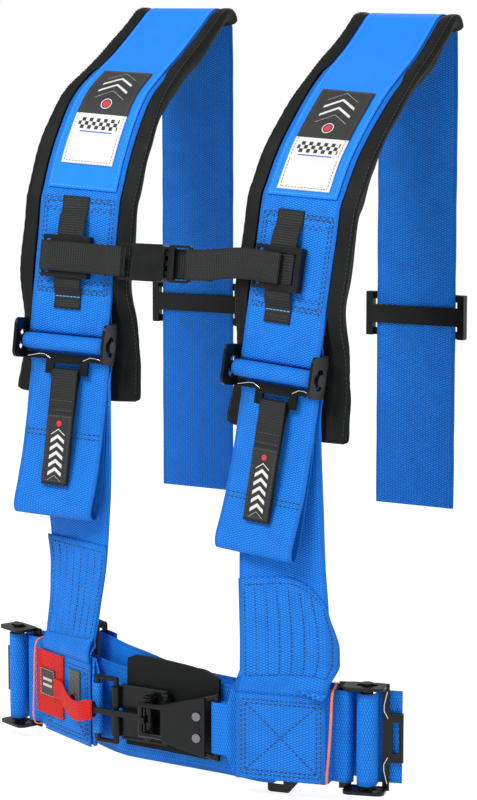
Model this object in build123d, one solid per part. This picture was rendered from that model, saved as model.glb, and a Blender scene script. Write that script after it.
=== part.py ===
from build123d import *
import math
import os

# Four-point racing harness: two padded shoulder belts, a sliding chest strap,
# a lap belt closed by a lever latch, and two bolt-in lap anchors.
# Millimetres, +Z up, the wearer's chest faces -Y, left is -X seen from in front.
# The parts are laid out around a working centre in the chest and moved at the
# end so that the origin is the middle of the footprint at the lowest point.

os.makedirs("parts", exist_ok=True)

# ------------------------------------------------------- shared dimensions
WEB_W = 76.2            # 3 inch main belt
WEB_T = 1.6             # main belt thickness
GAP = 0.2               # air left between stacked layers
LAYER = WEB_T + GAP     # pitch of stacked main belts
CHEST_W = 25.4          # 1 inch chest belt
CHEST_T = 1.4
STRAP_T = 1.4           # pull tabs and release strap
BAR_R = 5.0             # sliding bar of each length adjuster
BAR_Z = 7.5             # bar height above the middle of the adjuster plate
WIRE_R = 2.2            # wire of the latch ring and link
LAP_Z = -252.0          # height of the lap belt centre
UP = (0.0, 0.0, 1.0)

PIECES = {}             # node name -> list of shapes


def put(name, piece):
    PIECES.setdefault(name, []).append(piece)


# ------------------------------------------------------------ vector helpers
def vadd(a, b):
    return (a[0] + b[0], a[1] + b[1], a[2] + b[2])


def vsub(a, b):
    return (a[0] - b[0], a[1] - b[1], a[2] - b[2])


def vmul(a, factor):
    return (a[0] * factor, a[1] * factor, a[2] * factor)


def vdot(a, b):
    return a[0] * b[0] + a[1] * b[1] + a[2] * b[2]


def vcross(a, b):
    return (a[1] * b[2] - a[2] * b[1], a[2] * b[0] - a[0] * b[2], a[0] * b[1] - a[1] * b[0])


def vunit(a):
    size = math.sqrt(vdot(a, a))
    return (a[0] / size, a[1] / size, a[2] / size)


def lerp(a, b, t):
    return a + (b - a) * t


def vlerp(a, b, t):
    return tuple(lerp(p, q, t) for p, q in zip(a, b))


def facing_front(direction):
    """Horizontal normal of a horizontal direction, on its -Y side."""
    normal = (direction[1], -direction[0], 0.0)
    return vmul(normal, -1) if normal[1] > 0 else normal


def width_dir(yaw):
    """Horizontal width direction of an upright belt, yaw in degrees."""
    return (math.cos(math.radians(yaw)), -math.sin(math.radians(yaw)), 0.0)


# ------------------------------------------------------------- curve helpers
def smooth(x, start, end):
    """Smooth step from 0 at start to 1 at end."""
    t = min(1.0, max(0.0, (x - start) / (end - start)))
    return t * t * (3 - 2 * t)


def table(x, rows):
    """Piecewise linear value from rows of (x, value), x ascending."""
    if x <= rows[0][0]:
        return rows[0][1]
    for (x0, v0), (x1, v1) in zip(rows, rows[1:]):
        if x <= x1:
            return lerp(v0, v1, (x - x0) / (x1 - x0))
    return rows[-1][1]


def arc(cx, cy, radius, start, end, steps):
    """Points on a circle in a plane, angles in degrees."""
    angles = [math.radians(lerp(start, end, i / steps)) for i in range(steps + 1)]
    return [(cx + radius * math.cos(angle), cy + radius * math.sin(angle)) for angle in angles]


def spline(points, steps):
    """Catmull-Rom curve through the points, with `steps` steps a span."""
    first = tuple(2 * a - b for a, b in zip(points[0], points[1]))
    last = tuple(2 * b - a for a, b in zip(points[-2], points[-1]))
    ext = [first] + list(points) + [last]
    out = []
    for span in zip(ext, ext[1:], ext[2:], ext[3:]):
        for k in range(steps):
            t = k / steps
            out.append(tuple(0.5 * (2 * b + (c - a) * t + (2 * a - 5 * b + 4 * c - d) * t * t
                                    + (3 * b - a - 3 * c + d) * t ** 3)
                             for a, b, c, d in zip(*span)))
    out.append(tuple(points[-1]))
    return out


def tangent_angle(centre, radius, point, side):
    """Angle (degrees) on a circle where the line to the point touches it."""
    dx, dy = point[0] - centre[0], point[1] - centre[1]
    opening = math.degrees(math.acos(radius / math.hypot(dx, dy)))
    return math.degrees(math.atan2(dy, dx)) + side * opening


# ------------------------------------------------------------- solid helpers
def poly_solid(points, faces):
    return Solid(Shell([
        Face(Wire.make_polygon([Vector(*points[i]) for i in face], close=True))
        for face in faces]))


def skin(sections):
    """Closed solid through closed sections with equal point counts."""
    count = len(sections[0])
    points = [point for section in sections for point in section]
    last = (len(sections) - 1) * count
    faces = [list(reversed(range(count)))]
    for start in range(0, last, count):
        for j in range(count):
            here, beside = start + j, start + (j + 1) % count
            across, ahead = beside + count, here + count
            origin = points[here]
            normal = vcross(vsub(points[beside], origin), vsub(points[across], origin))
            size = math.sqrt(vdot(normal, normal))
            offset_dot = vdot(vsub(points[ahead], origin), normal)
            if size > 1e-9 and abs(offset_dot) / size < 1e-7:
                faces.append([here, beside, across, ahead])
            else:
                faces += [[here, beside, across], [here, across, ahead]]
    faces.append([last + j for j in range(count)])
    solid = poly_solid(points, faces)
    if solid.volume < 0:
        solid = poly_solid(points, [list(reversed(face)) for face in faces])
    return solid


def box(x0, x1, y0, y1, z0, z1):
    return Box(x1 - x0, y1 - y0, z1 - z0).moved(
        Location(((x0 + x1) / 2, (y0 + y1) / 2, (z0 + z1) / 2)))


def rod(start, end, radius):
    along = vsub(end, start)
    return Solid.make_cylinder(radius, math.sqrt(vdot(along, along)),
                               Plane(origin=start, z_dir=along))


def x_rod(x, z, length, radius):
    """Round bar along +X from x, at y = 0."""
    return Solid.make_cylinder(radius, length, Plane(origin=(x, 0, z), z_dir=(1, 0, 0)))


def bent_wire(points, radius, closed=False):
    """Straight rods with a ball piece at each bend."""
    path = points + points[:1] if closed else points
    wire = rod(path[0], path[1], radius)
    for start, end in zip(path[1:], path[2:]):
        wire = wire + rod(start, end, radius)
    for bend in (points if closed else points[1:-1]):
        wire = wire + Solid.make_sphere(radius, Plane(origin=bend))
    return wire


def place(point, width, normal, outline):
    """Put an outline of (across, out) at a point of a belt."""
    return [vadd(point, vadd(vmul(width, x), vmul(normal, z))) for x, z in outline]


class Frame:
    """Local axes for a fitting: x and z are given, y completes them."""

    def __init__(self, origin, x_axis, z_axis):
        self.origin = origin
        self.x_axis = x_axis
        self.y_axis = vcross(z_axis, x_axis)
        self.z_axis = z_axis

    @property
    def location(self):
        return Plane(origin=self.origin, x_dir=self.x_axis, z_dir=self.z_axis).location

    def at(self, x, y, z):
        return vadd(self.origin, vadd(vmul(self.x_axis, x),
                                      vadd(vmul(self.y_axis, y), vmul(self.z_axis, z))))

    def yz(self, points):
        return [self.at(0.0, y, z) for y, z in points]

    def xz(self, points):
        return [self.at(x, 0.0, z) for x, z in points]


class Ribbon:
    """A flat belt: centre points, width directions and mitred face normals.

    widths is one direction or a list; normals may fix some of the face normals.
    """

    def __init__(self, points, widths, normals=()):
        self.points = points
        if not isinstance(widths, list):
            widths = [widths] * len(points)
        self.widths = [vunit(width) for width in widths]
        self.normals = []
        steps = [vunit(vsub(b, a)) for a, b in zip(points, points[1:])]
        for i, width in enumerate(self.widths):
            before = vunit(vcross(steps[max(i - 1, 0)], width))
            after = vunit(vcross(steps[min(i, len(steps) - 1)], width))
            middle = vunit(vadd(before, after))
            self.normals.append(vmul(middle, 1.0 / max(0.5, vdot(middle, before))))
        for i, normal in enumerate(normals):
            if normal is not None:
                same = vdot(self.normals[i], normal) > 0
                self.normals[i] = normal if same else vmul(normal, -1)

    def section(self, i, outline):
        return place(self.points[i], self.widths[i], self.normals[i], outline)

    def solid(self, width, thickness):
        """width is one value or a list with one value a point."""
        widths = width if isinstance(width, list) else [width] * len(self.points)
        half_t = thickness / 2
        sections = []
        for i, value in enumerate(widths):
            half = value / 2
            sections.append(self.section(
                i, [(-half, -half_t), (half, -half_t), (half, half_t), (-half, half_t)]))
        return skin(sections)

    def sample(self, u, across=0.0):
        """Point, width, direction and normal at fractional index u."""
        i = min(int(u), len(self.points) - 2)
        t = u - i
        point = vlerp(self.points[i], self.points[i + 1], t)
        width = vunit(vlerp(self.widths[i], self.widths[i + 1], t))
        along = vunit(vsub(self.points[i + 1], self.points[i]))
        normal = vunit(vcross(along, width))
        width = vunit(vcross(normal, along))
        return vadd(point, vmul(width, across)), width, along, normal


def put_belt(name, points, widths, width=WEB_W, thickness=WEB_T, normals=()):
    put(name, Ribbon(points, widths, normals).solid(width, thickness))


# --------------------------------------------------------- length adjusters
# Tilt-lock three-bar adjuster.  Local x runs along the bar, y towards the belt
# it is sewn to, z out of the plate.  The sewn belt wraps the strip between
# window_top and strip_top; the sliding bar sits over the window.
PLATE_T = 2.4
FRAME_HW = 44.0         # half length of the plate along its bar
EAR_T = 2.5             # upright ear at each end of the plate
EAR_IN = FRAME_HW - EAR_T
SPRING_R = 0.5
BAR_EXIT = (1.0, -5.2)  # (y, z) where the belt leaves the bar behind the plate
# Positions along local y
SHOULDER_ADJUSTER = dict(strip_top=20.0, window_top=9.8, window_foot=-9.5,
                         plate_foot=-15.0, handle_end=-27.0)
LAP_ADJUSTER = dict(strip_top=24.0, window_top=14.0, window_foot=-11.5,
                    plate_foot=-17.0, handle_end=-28.5)


def adjuster_frame(strip_top, window_top, window_foot, plate_foot, handle_end):
    half_t = PLATE_T / 2
    plate = box(-FRAME_HW, FRAME_HW, plate_foot, strip_top, -half_t, half_t)
    plate -= box(-EAR_IN + 0.6, EAR_IN - 0.6, window_foot, window_top, -3, 3)
    handle = box(-20.3, 20.3, handle_end, plate_foot, -half_t, half_t)
    handle -= box(-12.8, 12.8, handle_end + 3.6, plate_foot - 2.6, -3, 3)
    frame = plate + handle
    for x in (-FRAME_HW, EAR_IN):
        outline = Plane.YZ.offset(x) * Pos(1.5, 8.6) * RectangleRounded(34.0, 21.6, 6.0)
        ear = extrude(outline, amount=EAR_T)
        slot = (Plane.YZ.offset(x - 1) * Pos(0.0, BAR_Z)
                * RectangleRounded(17.0, 2 * BAR_R - 1.6, 3.6))
        ear -= extrude(slot, amount=5)
        frame = frame + ear
    return frame


def adjuster_bar():
    """Sliding bar: full round between the ears, thinner through the slots."""
    bar = x_rod(-EAR_IN + 0.5, BAR_Z, 2 * EAR_IN - 1.0, BAR_R)
    ends = x_rod(-FRAME_HW - 1.0, BAR_Z, 2 * FRAME_HW + 2.0, 3.8)
    heads = [x_rod(x, BAR_Z, 1.6, 4.9) for x in (-FRAME_HW - 2.0, FRAME_HW + 0.4)]
    return bar + ends + heads[0] + heads[1]


def put_adjuster(tag, frame, sizes):
    location = frame.location
    put(f"{tag}_frame", adjuster_frame(**sizes).moved(location))
    put(f"{tag}_bar", adjuster_bar().moved(location))
    # two spring wires on the plate, each bent into a shallow trapezoid
    foot, z = sizes["plate_foot"], PLATE_T / 2 + 0.55
    for side in (-1, 1):
        bends = [(side * x, foot + rise, z)
                 for x, rise in ((38.0, 1.6), (27.0, 4.2), (22.0, 4.2), (16.0, 1.0))]
        put(f"{tag}_springs", bent_wire(bends, SPRING_R).moved(location))


def bar_wrap(radius, tail_end):
    """(y, z) line from the end of the tail over the sliding bar to BAR_EXIT."""
    centre = (0.0, BAR_Z)
    start = tangent_angle(centre, radius, tail_end, -1)
    end = tangent_angle(centre, radius, BAR_EXIT, +1)
    while start < 90:
        start += 360
    while end > 90:
        end -= 360
    return arc(*centre, radius, start, end, 14) + [BAR_EXIT]


# ------------------------------------------------------------ shoulder belts
# Each path is the outer face of the belt, from the cut rear end, up the back,
# over the crest and down the chest.  Points are (y, z), angles in degrees.
CREST_R = 20.0          # bend of the belt where it goes over the seat bar
CREST_STEPS = 10
REAR_STEPS = (0.0, 0.25, 0.5, 0.75, 0.9)    # fractions up the hanging rear part
CHEST_STEPS = (0.2, 0.4, 0.6, 0.8, 1.0)     # fractions down the straight lower run
PATH_EXTENSION = 22.0   # past the foot of the straight run
DRIFT_INDEX = 8         # path point from which the belt drifts sideways and rolls
FRONT_INDEX = 12        # path point near the top of the crest
PAD_INDEX = 6           # first path point covered by the pad
WEB_OUT = -1.5          # outer face of the belt, measured from the path
ADJUSTER_DROP = 3.0     # adjuster plate below the outer face of the belt
FOLD_MARGIN = 24.0      # belt leaves the path this far above the adjuster
FOLD_TOP_Z = 168.0      # height the fold-back layer stays below

SHOULDERS = {
    "left": dict(
        rear_x=-113.5, rear_y=114.0, rear_end_z=-101.0, crest=(94.0, 314.0), crest_end=120.0,
        front=[(37.5, 297.0), (6.5, 277.5), (-24.0, 254.0), (-50.0, 212.0), (-66.0, 171.0)],
        foot=(-81.2, 55.0), top_x=-114.0, foot_x=-121.0, roll=2.6, yaw=6.0,
        adjuster_z=49.5, pad_foot_z=2.0, foot_set_back=17.5, label_z=(277.0, 200.0),
        slide_z=69.0),
    "right": dict(
        rear_x=114.5, rear_y=108.0, rear_end_z=-96.0, crest=(88.0, 307.0), crest_end=123.0,
        front=[(46.5, 297.0), (18.0, 277.5), (-9.6, 256.0), (-47.6, 216.0), (-70.5, 177.0)],
        foot=(-89.0, 38.0), top_x=114.0, foot_x=91.5, roll=5.7, yaw=-4.0,
        adjuster_z=38.0, pad_foot_z=-14.0, foot_set_back=15.0, label_z=(262.0, 184.0),
        slide_z=70.0),
}


def shoulder_path(spec):
    crest_y, crest_z = spec["crest"]
    line = [(spec["rear_y"], lerp(spec["rear_end_z"], crest_z, t)) for t in REAR_STEPS]
    line += arc(crest_y, crest_z, CREST_R, 0.0, spec["crest_end"], CREST_STEPS)
    line += spline([line[-1]] + spec["front"], 4)[1:]
    start, foot = spec["front"][-1], spec["foot"]
    line += [vlerp(start, foot, t) for t in CHEST_STEPS]
    dy, dz = foot[0] - start[0], foot[1] - start[1]
    run = math.hypot(dy, dz)
    line.append((foot[0] + dy / run * PATH_EXTENSION, foot[1] + dz / run * PATH_EXTENSION))

    points, widths = [], []
    top = crest_z + CREST_R
    for k, (y, z) in enumerate(line):
        drop = 0.0
        if k >= DRIFT_INDEX:
            drop = min(1.1, max(0.0, (top - z) / (top - foot[1])))
        x = lerp(spec["top_x"], spec["foot_x"], drop)
        if k < len(REAR_STEPS):
            x = spec["rear_x"]
        points.append((x, y, z))
        roll = math.radians(spec["roll"]) * smooth(k, DRIFT_INDEX, 22)
        yaw = math.radians(spec["yaw"]) * smooth(k, 20, 32)
        widths.append((math.cos(roll) * math.cos(yaw), math.sin(yaw), -math.sin(roll)))
    return Ribbon(points, widths)


def index_at(path, z):
    """Fractional index on the front run where the path reaches height z."""
    points = path.points
    for i in range(FRONT_INDEX, len(points) - 1):
        if points[i][2] >= z >= points[i + 1][2]:
            return i + (points[i][2] - z) / (points[i][2] - points[i + 1][2])
    return len(points) - 1.0


def last_above(path, z):
    """Index of the lowest point of the front run that is above height z."""
    return max(i for i, point in enumerate(path.points) if point[2] > z)


def put_upper_web(side, spec, path, frame):
    """Rear tail, crest, chest, round the adjuster strip and back up inside."""
    def layer(indices, out):
        return [(vadd(path.points[i], vmul(path.normals[i], out)), path.widths[i],
                 path.normals[i]) for i in indices]

    last = last_above(path, spec["adjuster_z"] + FOLD_MARGIN)
    turn_y, turn_r = SHOULDER_ADJUSTER["window_top"] + 0.4, 2.2
    turn = [(22.0, turn_r)] + arc(turn_y, 0.0, turn_r, 90.0, 270.0, 6) + [(21.6, -turn_r)]
    rows = layer(range(last + 1), WEB_OUT - WEB_T / 2)
    rows += [(point, frame.x_axis, None) for point in frame.yz(turn)]
    rows += layer(range(last, last_above(path, FOLD_TOP_Z), -1), WEB_OUT - 1.5 * WEB_T - GAP)
    points, widths, normals = (list(column) for column in zip(*rows))
    put_belt(f"upper_web_{side}", points, widths, normals=normals)


# Cover over the pad and the label sewn on it
SLEEVE_HW = 67.0 / 2
SLEEVE_T = 1.0
SLEEVE_END_Z = 178.0
LABEL_HW = 25.0
LABEL_OUT = (0.35, 1.4)     # inner and outer face above the cover


def put_cover(side, path):
    outline = [(-SLEEVE_HW, -SLEEVE_T), (SLEEVE_HW, -SLEEVE_T), (SLEEVE_HW, 0.0),
               (-SLEEVE_HW, 0.0)]
    end = int(index_at(path, SLEEVE_END_Z)) + 1
    put(f"pad_cover_{side}", skin([path.section(i, outline) for i in range(PAD_INDEX, end)]))


def put_label(side, spec, path):
    inner, outer = LABEL_OUT
    outline = [(-LABEL_HW, inner), (LABEL_HW, inner), (LABEL_HW, outer), (-LABEL_HW, outer)]
    top, foot = (index_at(path, z) for z in spec["label_z"])
    between = [float(i) for i in range(int(top) + 1, int(foot) + 1)]
    sections = []
    for u in [top] + between + [foot]:
        i = int(u)
        upper, lower = path.section(i, outline), path.section(i + 1, outline)
        sections.append([vlerp(p, q, u - i) for p, q in zip(upper, lower)])
    put(f"shoulder_label_{side}", skin(sections))


# Shoulder pad: base under the belt, rims beside and over its edges
PAD_IN = -5.2           # outer face of the pad base, measured from the path
PAD_T = 12.5
CHANNEL_HW = 39.4       # half width of the channel the belt lies in
FOOT_TOP_MARGIN = 34.0  # the foot starts this far above the adjuster
# (path index, value)
PAD_HALF_WIDTHS = [(6, 46), (10, 49), (14, 50), (20, 50), (24, 52), (30, 56)]
PAD_THICKNESSES = [(6, 7.0), (14, 7.5), (19, PAD_T), (40, PAD_T)]
FOOT_STEPS = (0.28, 0.5, 0.75, 0.94, 1.0)   # fractions down the foot


def mirrored(half):
    """Whole outline from its +x half, starting beside the half's first point."""
    other = [(-x, z) for x, z in reversed(half)]
    return other[-1:] + half + other[:-1]


def pad_outline(i):
    hw = table(i, PAD_HALF_WIDTHS)
    back = PAD_IN - table(i, PAD_THICKNESSES)
    lip = lerp(34.3, 39.6, smooth(i, 22, 24))
    rim = lerp(2.2, 0.4, smooth(i, 20, 28))
    # where the lip overhangs the belt, its underside stays just above the belt
    overhangs = lip <= 36
    return mirrored([
        (hw - 5, back), (hw, back + 5), (hw, rim - 2.5), (hw - 2.5, rim), (lip + 1.5, rim),
        (lip, -0.8 if overhangs else rim - 1.2),
        (CHANNEL_HW, -0.9 if overhangs else rim - 2.4), (CHANNEL_HW, PAD_IN)])


def foot_outline(t, set_back):
    """Flat-faced section at fraction t; the end one is narrower and thinner."""
    at_end = t == 1.0
    base = PAD_IN - set_back * smooth(t, 0.0, 0.4)
    hw = lerp(56, 62, t) - (6 if at_end else 0)
    back = base - (PAD_T - (4 if at_end else 0))
    return mirrored([
        (hw - 5, back), (hw, back + (2.5 if at_end else 5)), (hw, base - 4),
        (hw - 3.5, base - 0.5), (45.5, base - 0.3), (43.5, base - 0.2), (41.5, base - 0.1),
        (CHANNEL_HW, base)])


def put_pad(side, spec, path):
    foot_top_z = spec["adjuster_z"] + FOOT_TOP_MARGIN
    sections = [path.section(i, pad_outline(i))
                for i in range(PAD_INDEX, last_above(path, foot_top_z) + 1)]
    # the foot runs straight on behind the adjuster
    top, width, along, normal = path.sample(index_at(path, foot_top_z))
    length = top[2] - spec["pad_foot_z"]
    for t in FOOT_STEPS:
        point = vadd(top, vmul(along, length * t))
        sections.append(place(point, width, normal, foot_outline(t, spec["foot_set_back"])))
    put(f"shoulder_pad_{side}", skin(sections))


def put_rear_slide(side, spec):
    """Three-bar slide: middle bar on the -Y side of the belt, others on +Y."""
    slide = box(-47.5, -41.0, -3.2, 3.2, -19.0, 19.0) + box(41.0, 47.5, -3.2, 3.2, -19.0, 19.0)
    slide += box(-42, 42, -3.2, -1.1, -8.0, 8.0)
    slide += box(-42, 42, 1.1, 3.2, 12.5, 19.0) + box(-42, 42, 1.1, 3.2, -19.0, -12.5)
    belt_y = spec["rear_y"] + WEB_OUT - WEB_T / 2
    put(f"rear_slide_{side}", slide.moved(Location((spec["rear_x"], belt_y, spec["slide_z"]))))


def put_shoulder(side, spec, path):
    """All parts on one shoulder belt; returns the adjuster's frame."""
    point, width, _, normal = path.sample(index_at(path, spec["adjuster_z"]))
    frame = Frame(vadd(point, vmul(normal, WEB_OUT - ADJUSTER_DROP)), width, normal)
    put_adjuster(f"adjuster_{side}", frame, SHOULDER_ADJUSTER)
    put_upper_web(side, spec, path, frame)
    put_cover(side, path)
    put_pad(side, spec, path)
    put_label(side, spec, path)
    put_rear_slide(side, spec)
    return frame


# ----------------------------- lower belts, from the shoulder adjusters to the lap
# run: (x, y, z, yaw) down to the lap.  eye: (y, z) in the adjuster's frame, from
# the sewn end of the hand loop, down its back layer and up its front layer.
# crossing: (x, y) where the belt crosses the lap belt.
LOWER = {
    "left": dict(
        run=[(-121.0, -72.0, 12.0, 0), (-120.0, -70.5, -30.0, 3), (-117.5, -71.0, -80.0, 9),
             (-115.0, -74.0, -125.0, 16), (-114.5, -80.0, -170.0, 21),
             (-114.2, -89.5, -208.0, 24)],
        crossing=(-114.0, -91.3),
        eye=[(-44.0, -7.1), (-52.0, -7.0), (-70.0, -7.4), (-95.0, -10.0), (-120.0, -12.0),
             (-140.0, -10.0), (-147.5, -4.0), (-146.0, 2.5), (-138.0, 4.5), (-120.0, 0.5),
             (-95.0, -2.9), (-60.0, -5.0)]),
    "right": dict(
        run=[(91.5, -80.0, 0.0, 4), (92.5, -82.0, -40.0, 0), (96.0, -87.0, -85.0, -4),
             (99.5, -92.0, -125.0, -8), (107.5, -101.0, -172.0, -12),
             (112.0, -108.0, -208.0, -14)],
        crossing=(110.0, -110.62),
        eye=[(-44.0, -7.1), (-52.0, -7.0), (-70.0, -7.2), (-95.0, -7.4), (-120.0, -7.0),
             (-140.0, -5.0), (-147.5, -1.5), (-146.0, 2.5), (-138.0, 4.0), (-120.0, 0.8),
             (-95.0, -2.9), (-60.0, -5.0)]),
}
LOWER_WRAP_R = BAR_R + 0.25 + WEB_T / 2
SEWN_Z = (-213.0, -291.0)   # ends of the flat run sewn on the front of the lap belt


def crossing_axes(spec):
    """Width direction and front normal of the belt where it crosses the lap."""
    width = width_dir(spec["run"][-1][3])
    return width, vunit(vcross(width, UP))


def put_lower_web(side, spec, frame):
    # hanging tail with its sewn hand loop, then over the sliding bar
    profile = spline(spec["eye"], 3)
    profile += [(-31.0, -5.3), (-20.0, -5.3), (-12.5, -3.1)]
    profile += arc(-8.4, -0.6, 2.3, -90.0, 0.0, 3)[1:]
    profile += bar_wrap(LOWER_WRAP_R, profile[-1]) + [(-0.6, -7.4), (-4.0, -8.6)]
    points = frame.yz(profile)
    widths = [frame.x_axis] * len(points)
    # down to the lap, turning with the yaw column
    yaws = list(enumerate(row[3] for row in spec["run"]))
    steps = 3
    path = [frame.at(0.0, -16.0, -10.6)] + [row[:3] for row in spec["run"]]
    for k, point in enumerate(spline(path, steps)):
        points.append(point)
        if k < steps:
            widths.append(vunit(vlerp(frame.x_axis, width_dir(yaws[0][1]), k / steps)))
        else:
            widths.append(width_dir(table((k - steps) / steps, yaws)))
    width, normal = crossing_axes(spec)
    x, y = spec["crossing"]
    for z in SEWN_Z:
        points.append((x + normal[0] * LAYER, y + normal[1] * LAYER, z))
        widths.append(width)
    put_belt(f"lower_web_{side}", points, widths)


# ------------------------------------------------------------------ lap belts
# (x, y) points at LAP_Z: loop is the latch wire, run goes outward from it, bar is
# the adjuster's sliding bar, outward points from the latch to the adjuster and
# reach is the length of the open loop.
LAP = {
    "left": dict(loop=(-64.5, -119.5), run=[(-76.5, -108.03), (-117.0, -90.0), (-151.0, -74.86)],
                 bar=(-192.0, -59.5), outward=vunit((-0.936, 0.352, 0.0)), reach=5.0),
    "right": dict(loop=(55.0, -122.0), run=[(70.0, -120.3), (112.5, -110.0), (144.0, -102.15)],
                  bar=(176.5, -88.0), outward=vunit((0.949, 0.316, 0.0)), reach=11.0),
}
LOOP_R = WIRE_R + 0.3 + WEB_T / 2
LOOP_W = 43.0           # belt narrowed where it passes the latch wire


def put_lap_belt(side, spec):
    """Lap adjuster and belt; returns the adjuster's frame."""
    out = facing_front(spec["outward"])
    frame = Frame(vsub((*spec["bar"], LAP_Z), vmul(out, BAR_Z)),
                  vcross(vmul(spec["outward"], -1), out), out)
    put_adjuster(f"lap_adjuster_{side}", frame, LAP_ADJUSTER)

    # round the adjuster strip, along the run, round the latch wire and back behind
    strip = (LAP_ADJUSTER["window_top"] + LAP_ADJUSTER["strip_top"]) / 2
    points = frame.yz([(strip + 16.0, -2.6), (strip + 7.0, -5.2)]
                      + arc(strip, 1.0, 6.4, -110.0, -250.0, 8) + [(strip + 9.0, 3.4)])
    run = [(x, y, LAP_Z) for x, y in spec["run"]]
    points += run[::-1]
    wire = (*spec["loop"], LAP_Z)
    along = vunit(vsub(run[0], wire))
    loop = ([(spec["reach"], LOOP_R)] + arc(0.0, 0.0, LOOP_R, 90.0, 270.0, 6)
            + [(spec["reach"], -LOOP_R)])
    widths = [WEB_W] * len(points) + [LOOP_W] * len(loop)
    points += Frame(wire, along, facing_front(along)).xz(loop)
    for start, end in zip(run, run[1:]):
        normal = facing_front(vunit(vsub(end, start)))
        points.append(vsub(start, vmul(normal, LAYER)))
        widths.append(WEB_W)
    put_belt(f"lap_web_{side}", points, UP, width=widths)
    return frame


# --------------------------------------------------------------- chest strap
# z: slider height, across: sideways shift on the shoulder belt,
# rail_top: upper end of the narrow rail strap in the slider's frame.
CHEST = {
    "left": dict(z=122.0, across=-3.0, rail_top=52.0),
    "right": dict(z=121.0, across=-7.0, rail_top=48.0),
}
RAIL_FOOT = -44.0
OUTER_BAR = (-23.5, 4.1)    # (x, z) of the slider bar that carries the chest belt
OUTER_TURN_R = 3.3
BACK_Z, FRONT_Z = 7.7, 9.6  # back and front layer of the chest belt
# (x, z) in each slider's frame
LEFT_CHEST_PATH = (
    [(14.0, BACK_Z), (-15.8, BACK_Z), (-18.6, 7.1), (-19.7, 5.0), (-19.7, 2.4)]
    + arc(*OUTER_BAR, OUTER_TURN_R, -100.0, -270.0, 8) + [(-18.0, FRONT_Z), (22.0, FRONT_Z)])
RIGHT_CHEST_PATH = (
    [(-33.0, 7.3), (-28.0, 7.6)] + arc(*OUTER_BAR, OUTER_TURN_R, 110.0, 270.0, 8)
    + [(-20.4, 1.0), (-19.7, 2.6), (-19.7, 5.0), (-18.6, 7.1), (-15.8, BACK_Z), (0.0, BACK_Z),
       (1.0, 7.9), (1.4, 8.65), (1.0, 9.4), (0.0, FRONT_Z), (-34.0, FRONT_Z)])
# (distance from the buckle centre, z) in the buckle's frame, round its end bar
BUCKLE_LOOP = ([(44.0, 2.9), (36.2, 3.2)] + arc(35.6, 0.0, 3.2, 110.0, 270.0, 8)
               + [(44.0, -2.9), (50.0, -1.2)])
BUCKLE_X, BUCKLE_Z = -30.5, 121.5
BUCKLE_LEAN = 0.12          # +Y lean of the buckle for each unit of height


def put_chest_slider(side, spec, path):
    """Rail strap and slider; returns the slider's frame."""
    point, width, _, normal = path.sample(index_at(path, spec["z"]), spec["across"])
    frame = Frame(point, width, normal)
    # narrow belt sewn down at both ends, standing off between
    top = spec["rail_top"]
    rail = [(top, -0.3), (top - 12, -0.3), (top - 19, 3.0),
            (RAIL_FOOT + 19, 3.0), (RAIL_FOOT + 12, -0.3), (RAIL_FOOT, -0.3)]
    put_belt(f"chest_rail_strap_{side}", frame.yz(rail), width, CHEST_W, CHEST_T)
    # front ring with a slot beside its outer bar
    slider = (box(-25.0, 20.0, -18.0, 18.0, 4.2, 6.6) - box(-14.6, 14.6, -12.5, 12.5, 0, 9)
              - box(-22.0, -17.5, -14.6, 14.6, 0, 9))
    slider -= box(-26.0, -21.9, -14.6, 14.6, 5.7, 7)
    # side walls, then two bars behind the rail strap
    slider += box(-17.5, -14.6, -18.0, 18.0, -0.5, 5.0) + box(14.6, 20.0, -18.0, 18.0, -0.5, 5.0)
    for y in (-14.0, 9.0):
        slider += box(-16.0, 16.0, y, y + 5.0, -0.5, 1.9)
    put(f"chest_slider_{side}", slider.moved(frame.location))
    return frame


def buckle_frame(left_end, right_end):
    """Frame on the line between the front layers of the two chest belts."""
    along = vunit((right_end[0] - left_end[0], right_end[1] - left_end[1], 0.0))
    out = vunit(vcross(along, vunit((0.0, BUCKLE_LEAN, 1.0))))
    middle = vmul(vadd(left_end, right_end), 0.5)
    y = middle[1] + (BUCKLE_X - middle[0]) * along[1] / along[0]
    return Frame((BUCKLE_X, y, BUCKLE_Z), along, out)


def put_chest_straps(sliders):
    """Both chest belts; returns the buckle's frame."""
    runs = {"left": sliders["left"].xz(LEFT_CHEST_PATH),
            "right": sliders["right"].xz(RIGHT_CHEST_PATH)}
    buckle = buckle_frame(runs["left"][-1], runs["right"][-1])
    loop_count = len(BUCKLE_LOOP)
    for side, sign in (("left", -1), ("right", 1)):
        run = runs[side]
        loop = buckle.xz([(sign * x, z) for x, z in BUCKLE_LOOP])
        widths = [sliders[side].y_axis] * len(run) + [buckle.y_axis] * loop_count
        put_belt(f"chest_strap_{side}", run + loop, widths, CHEST_W, CHEST_T)
    return buckle


# ------------------------------------------------------- side-release buckle
BUCKLE_H = 31.0
SOCKET_T = 9.2
TAB_T = 3.2             # flat belt ends of the socket and the tongue
TAB_CORNER_R = 3.0


def buckle_slab(x, width, corner_r, thickness):
    """Rounded slab centred on the buckle's mid plane."""
    outline = (Plane.XY.offset(-thickness / 2) * Pos(x, 0)
               * RectangleRounded(width, BUCKLE_H, corner_r))
    return extrude(outline, amount=thickness)


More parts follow.
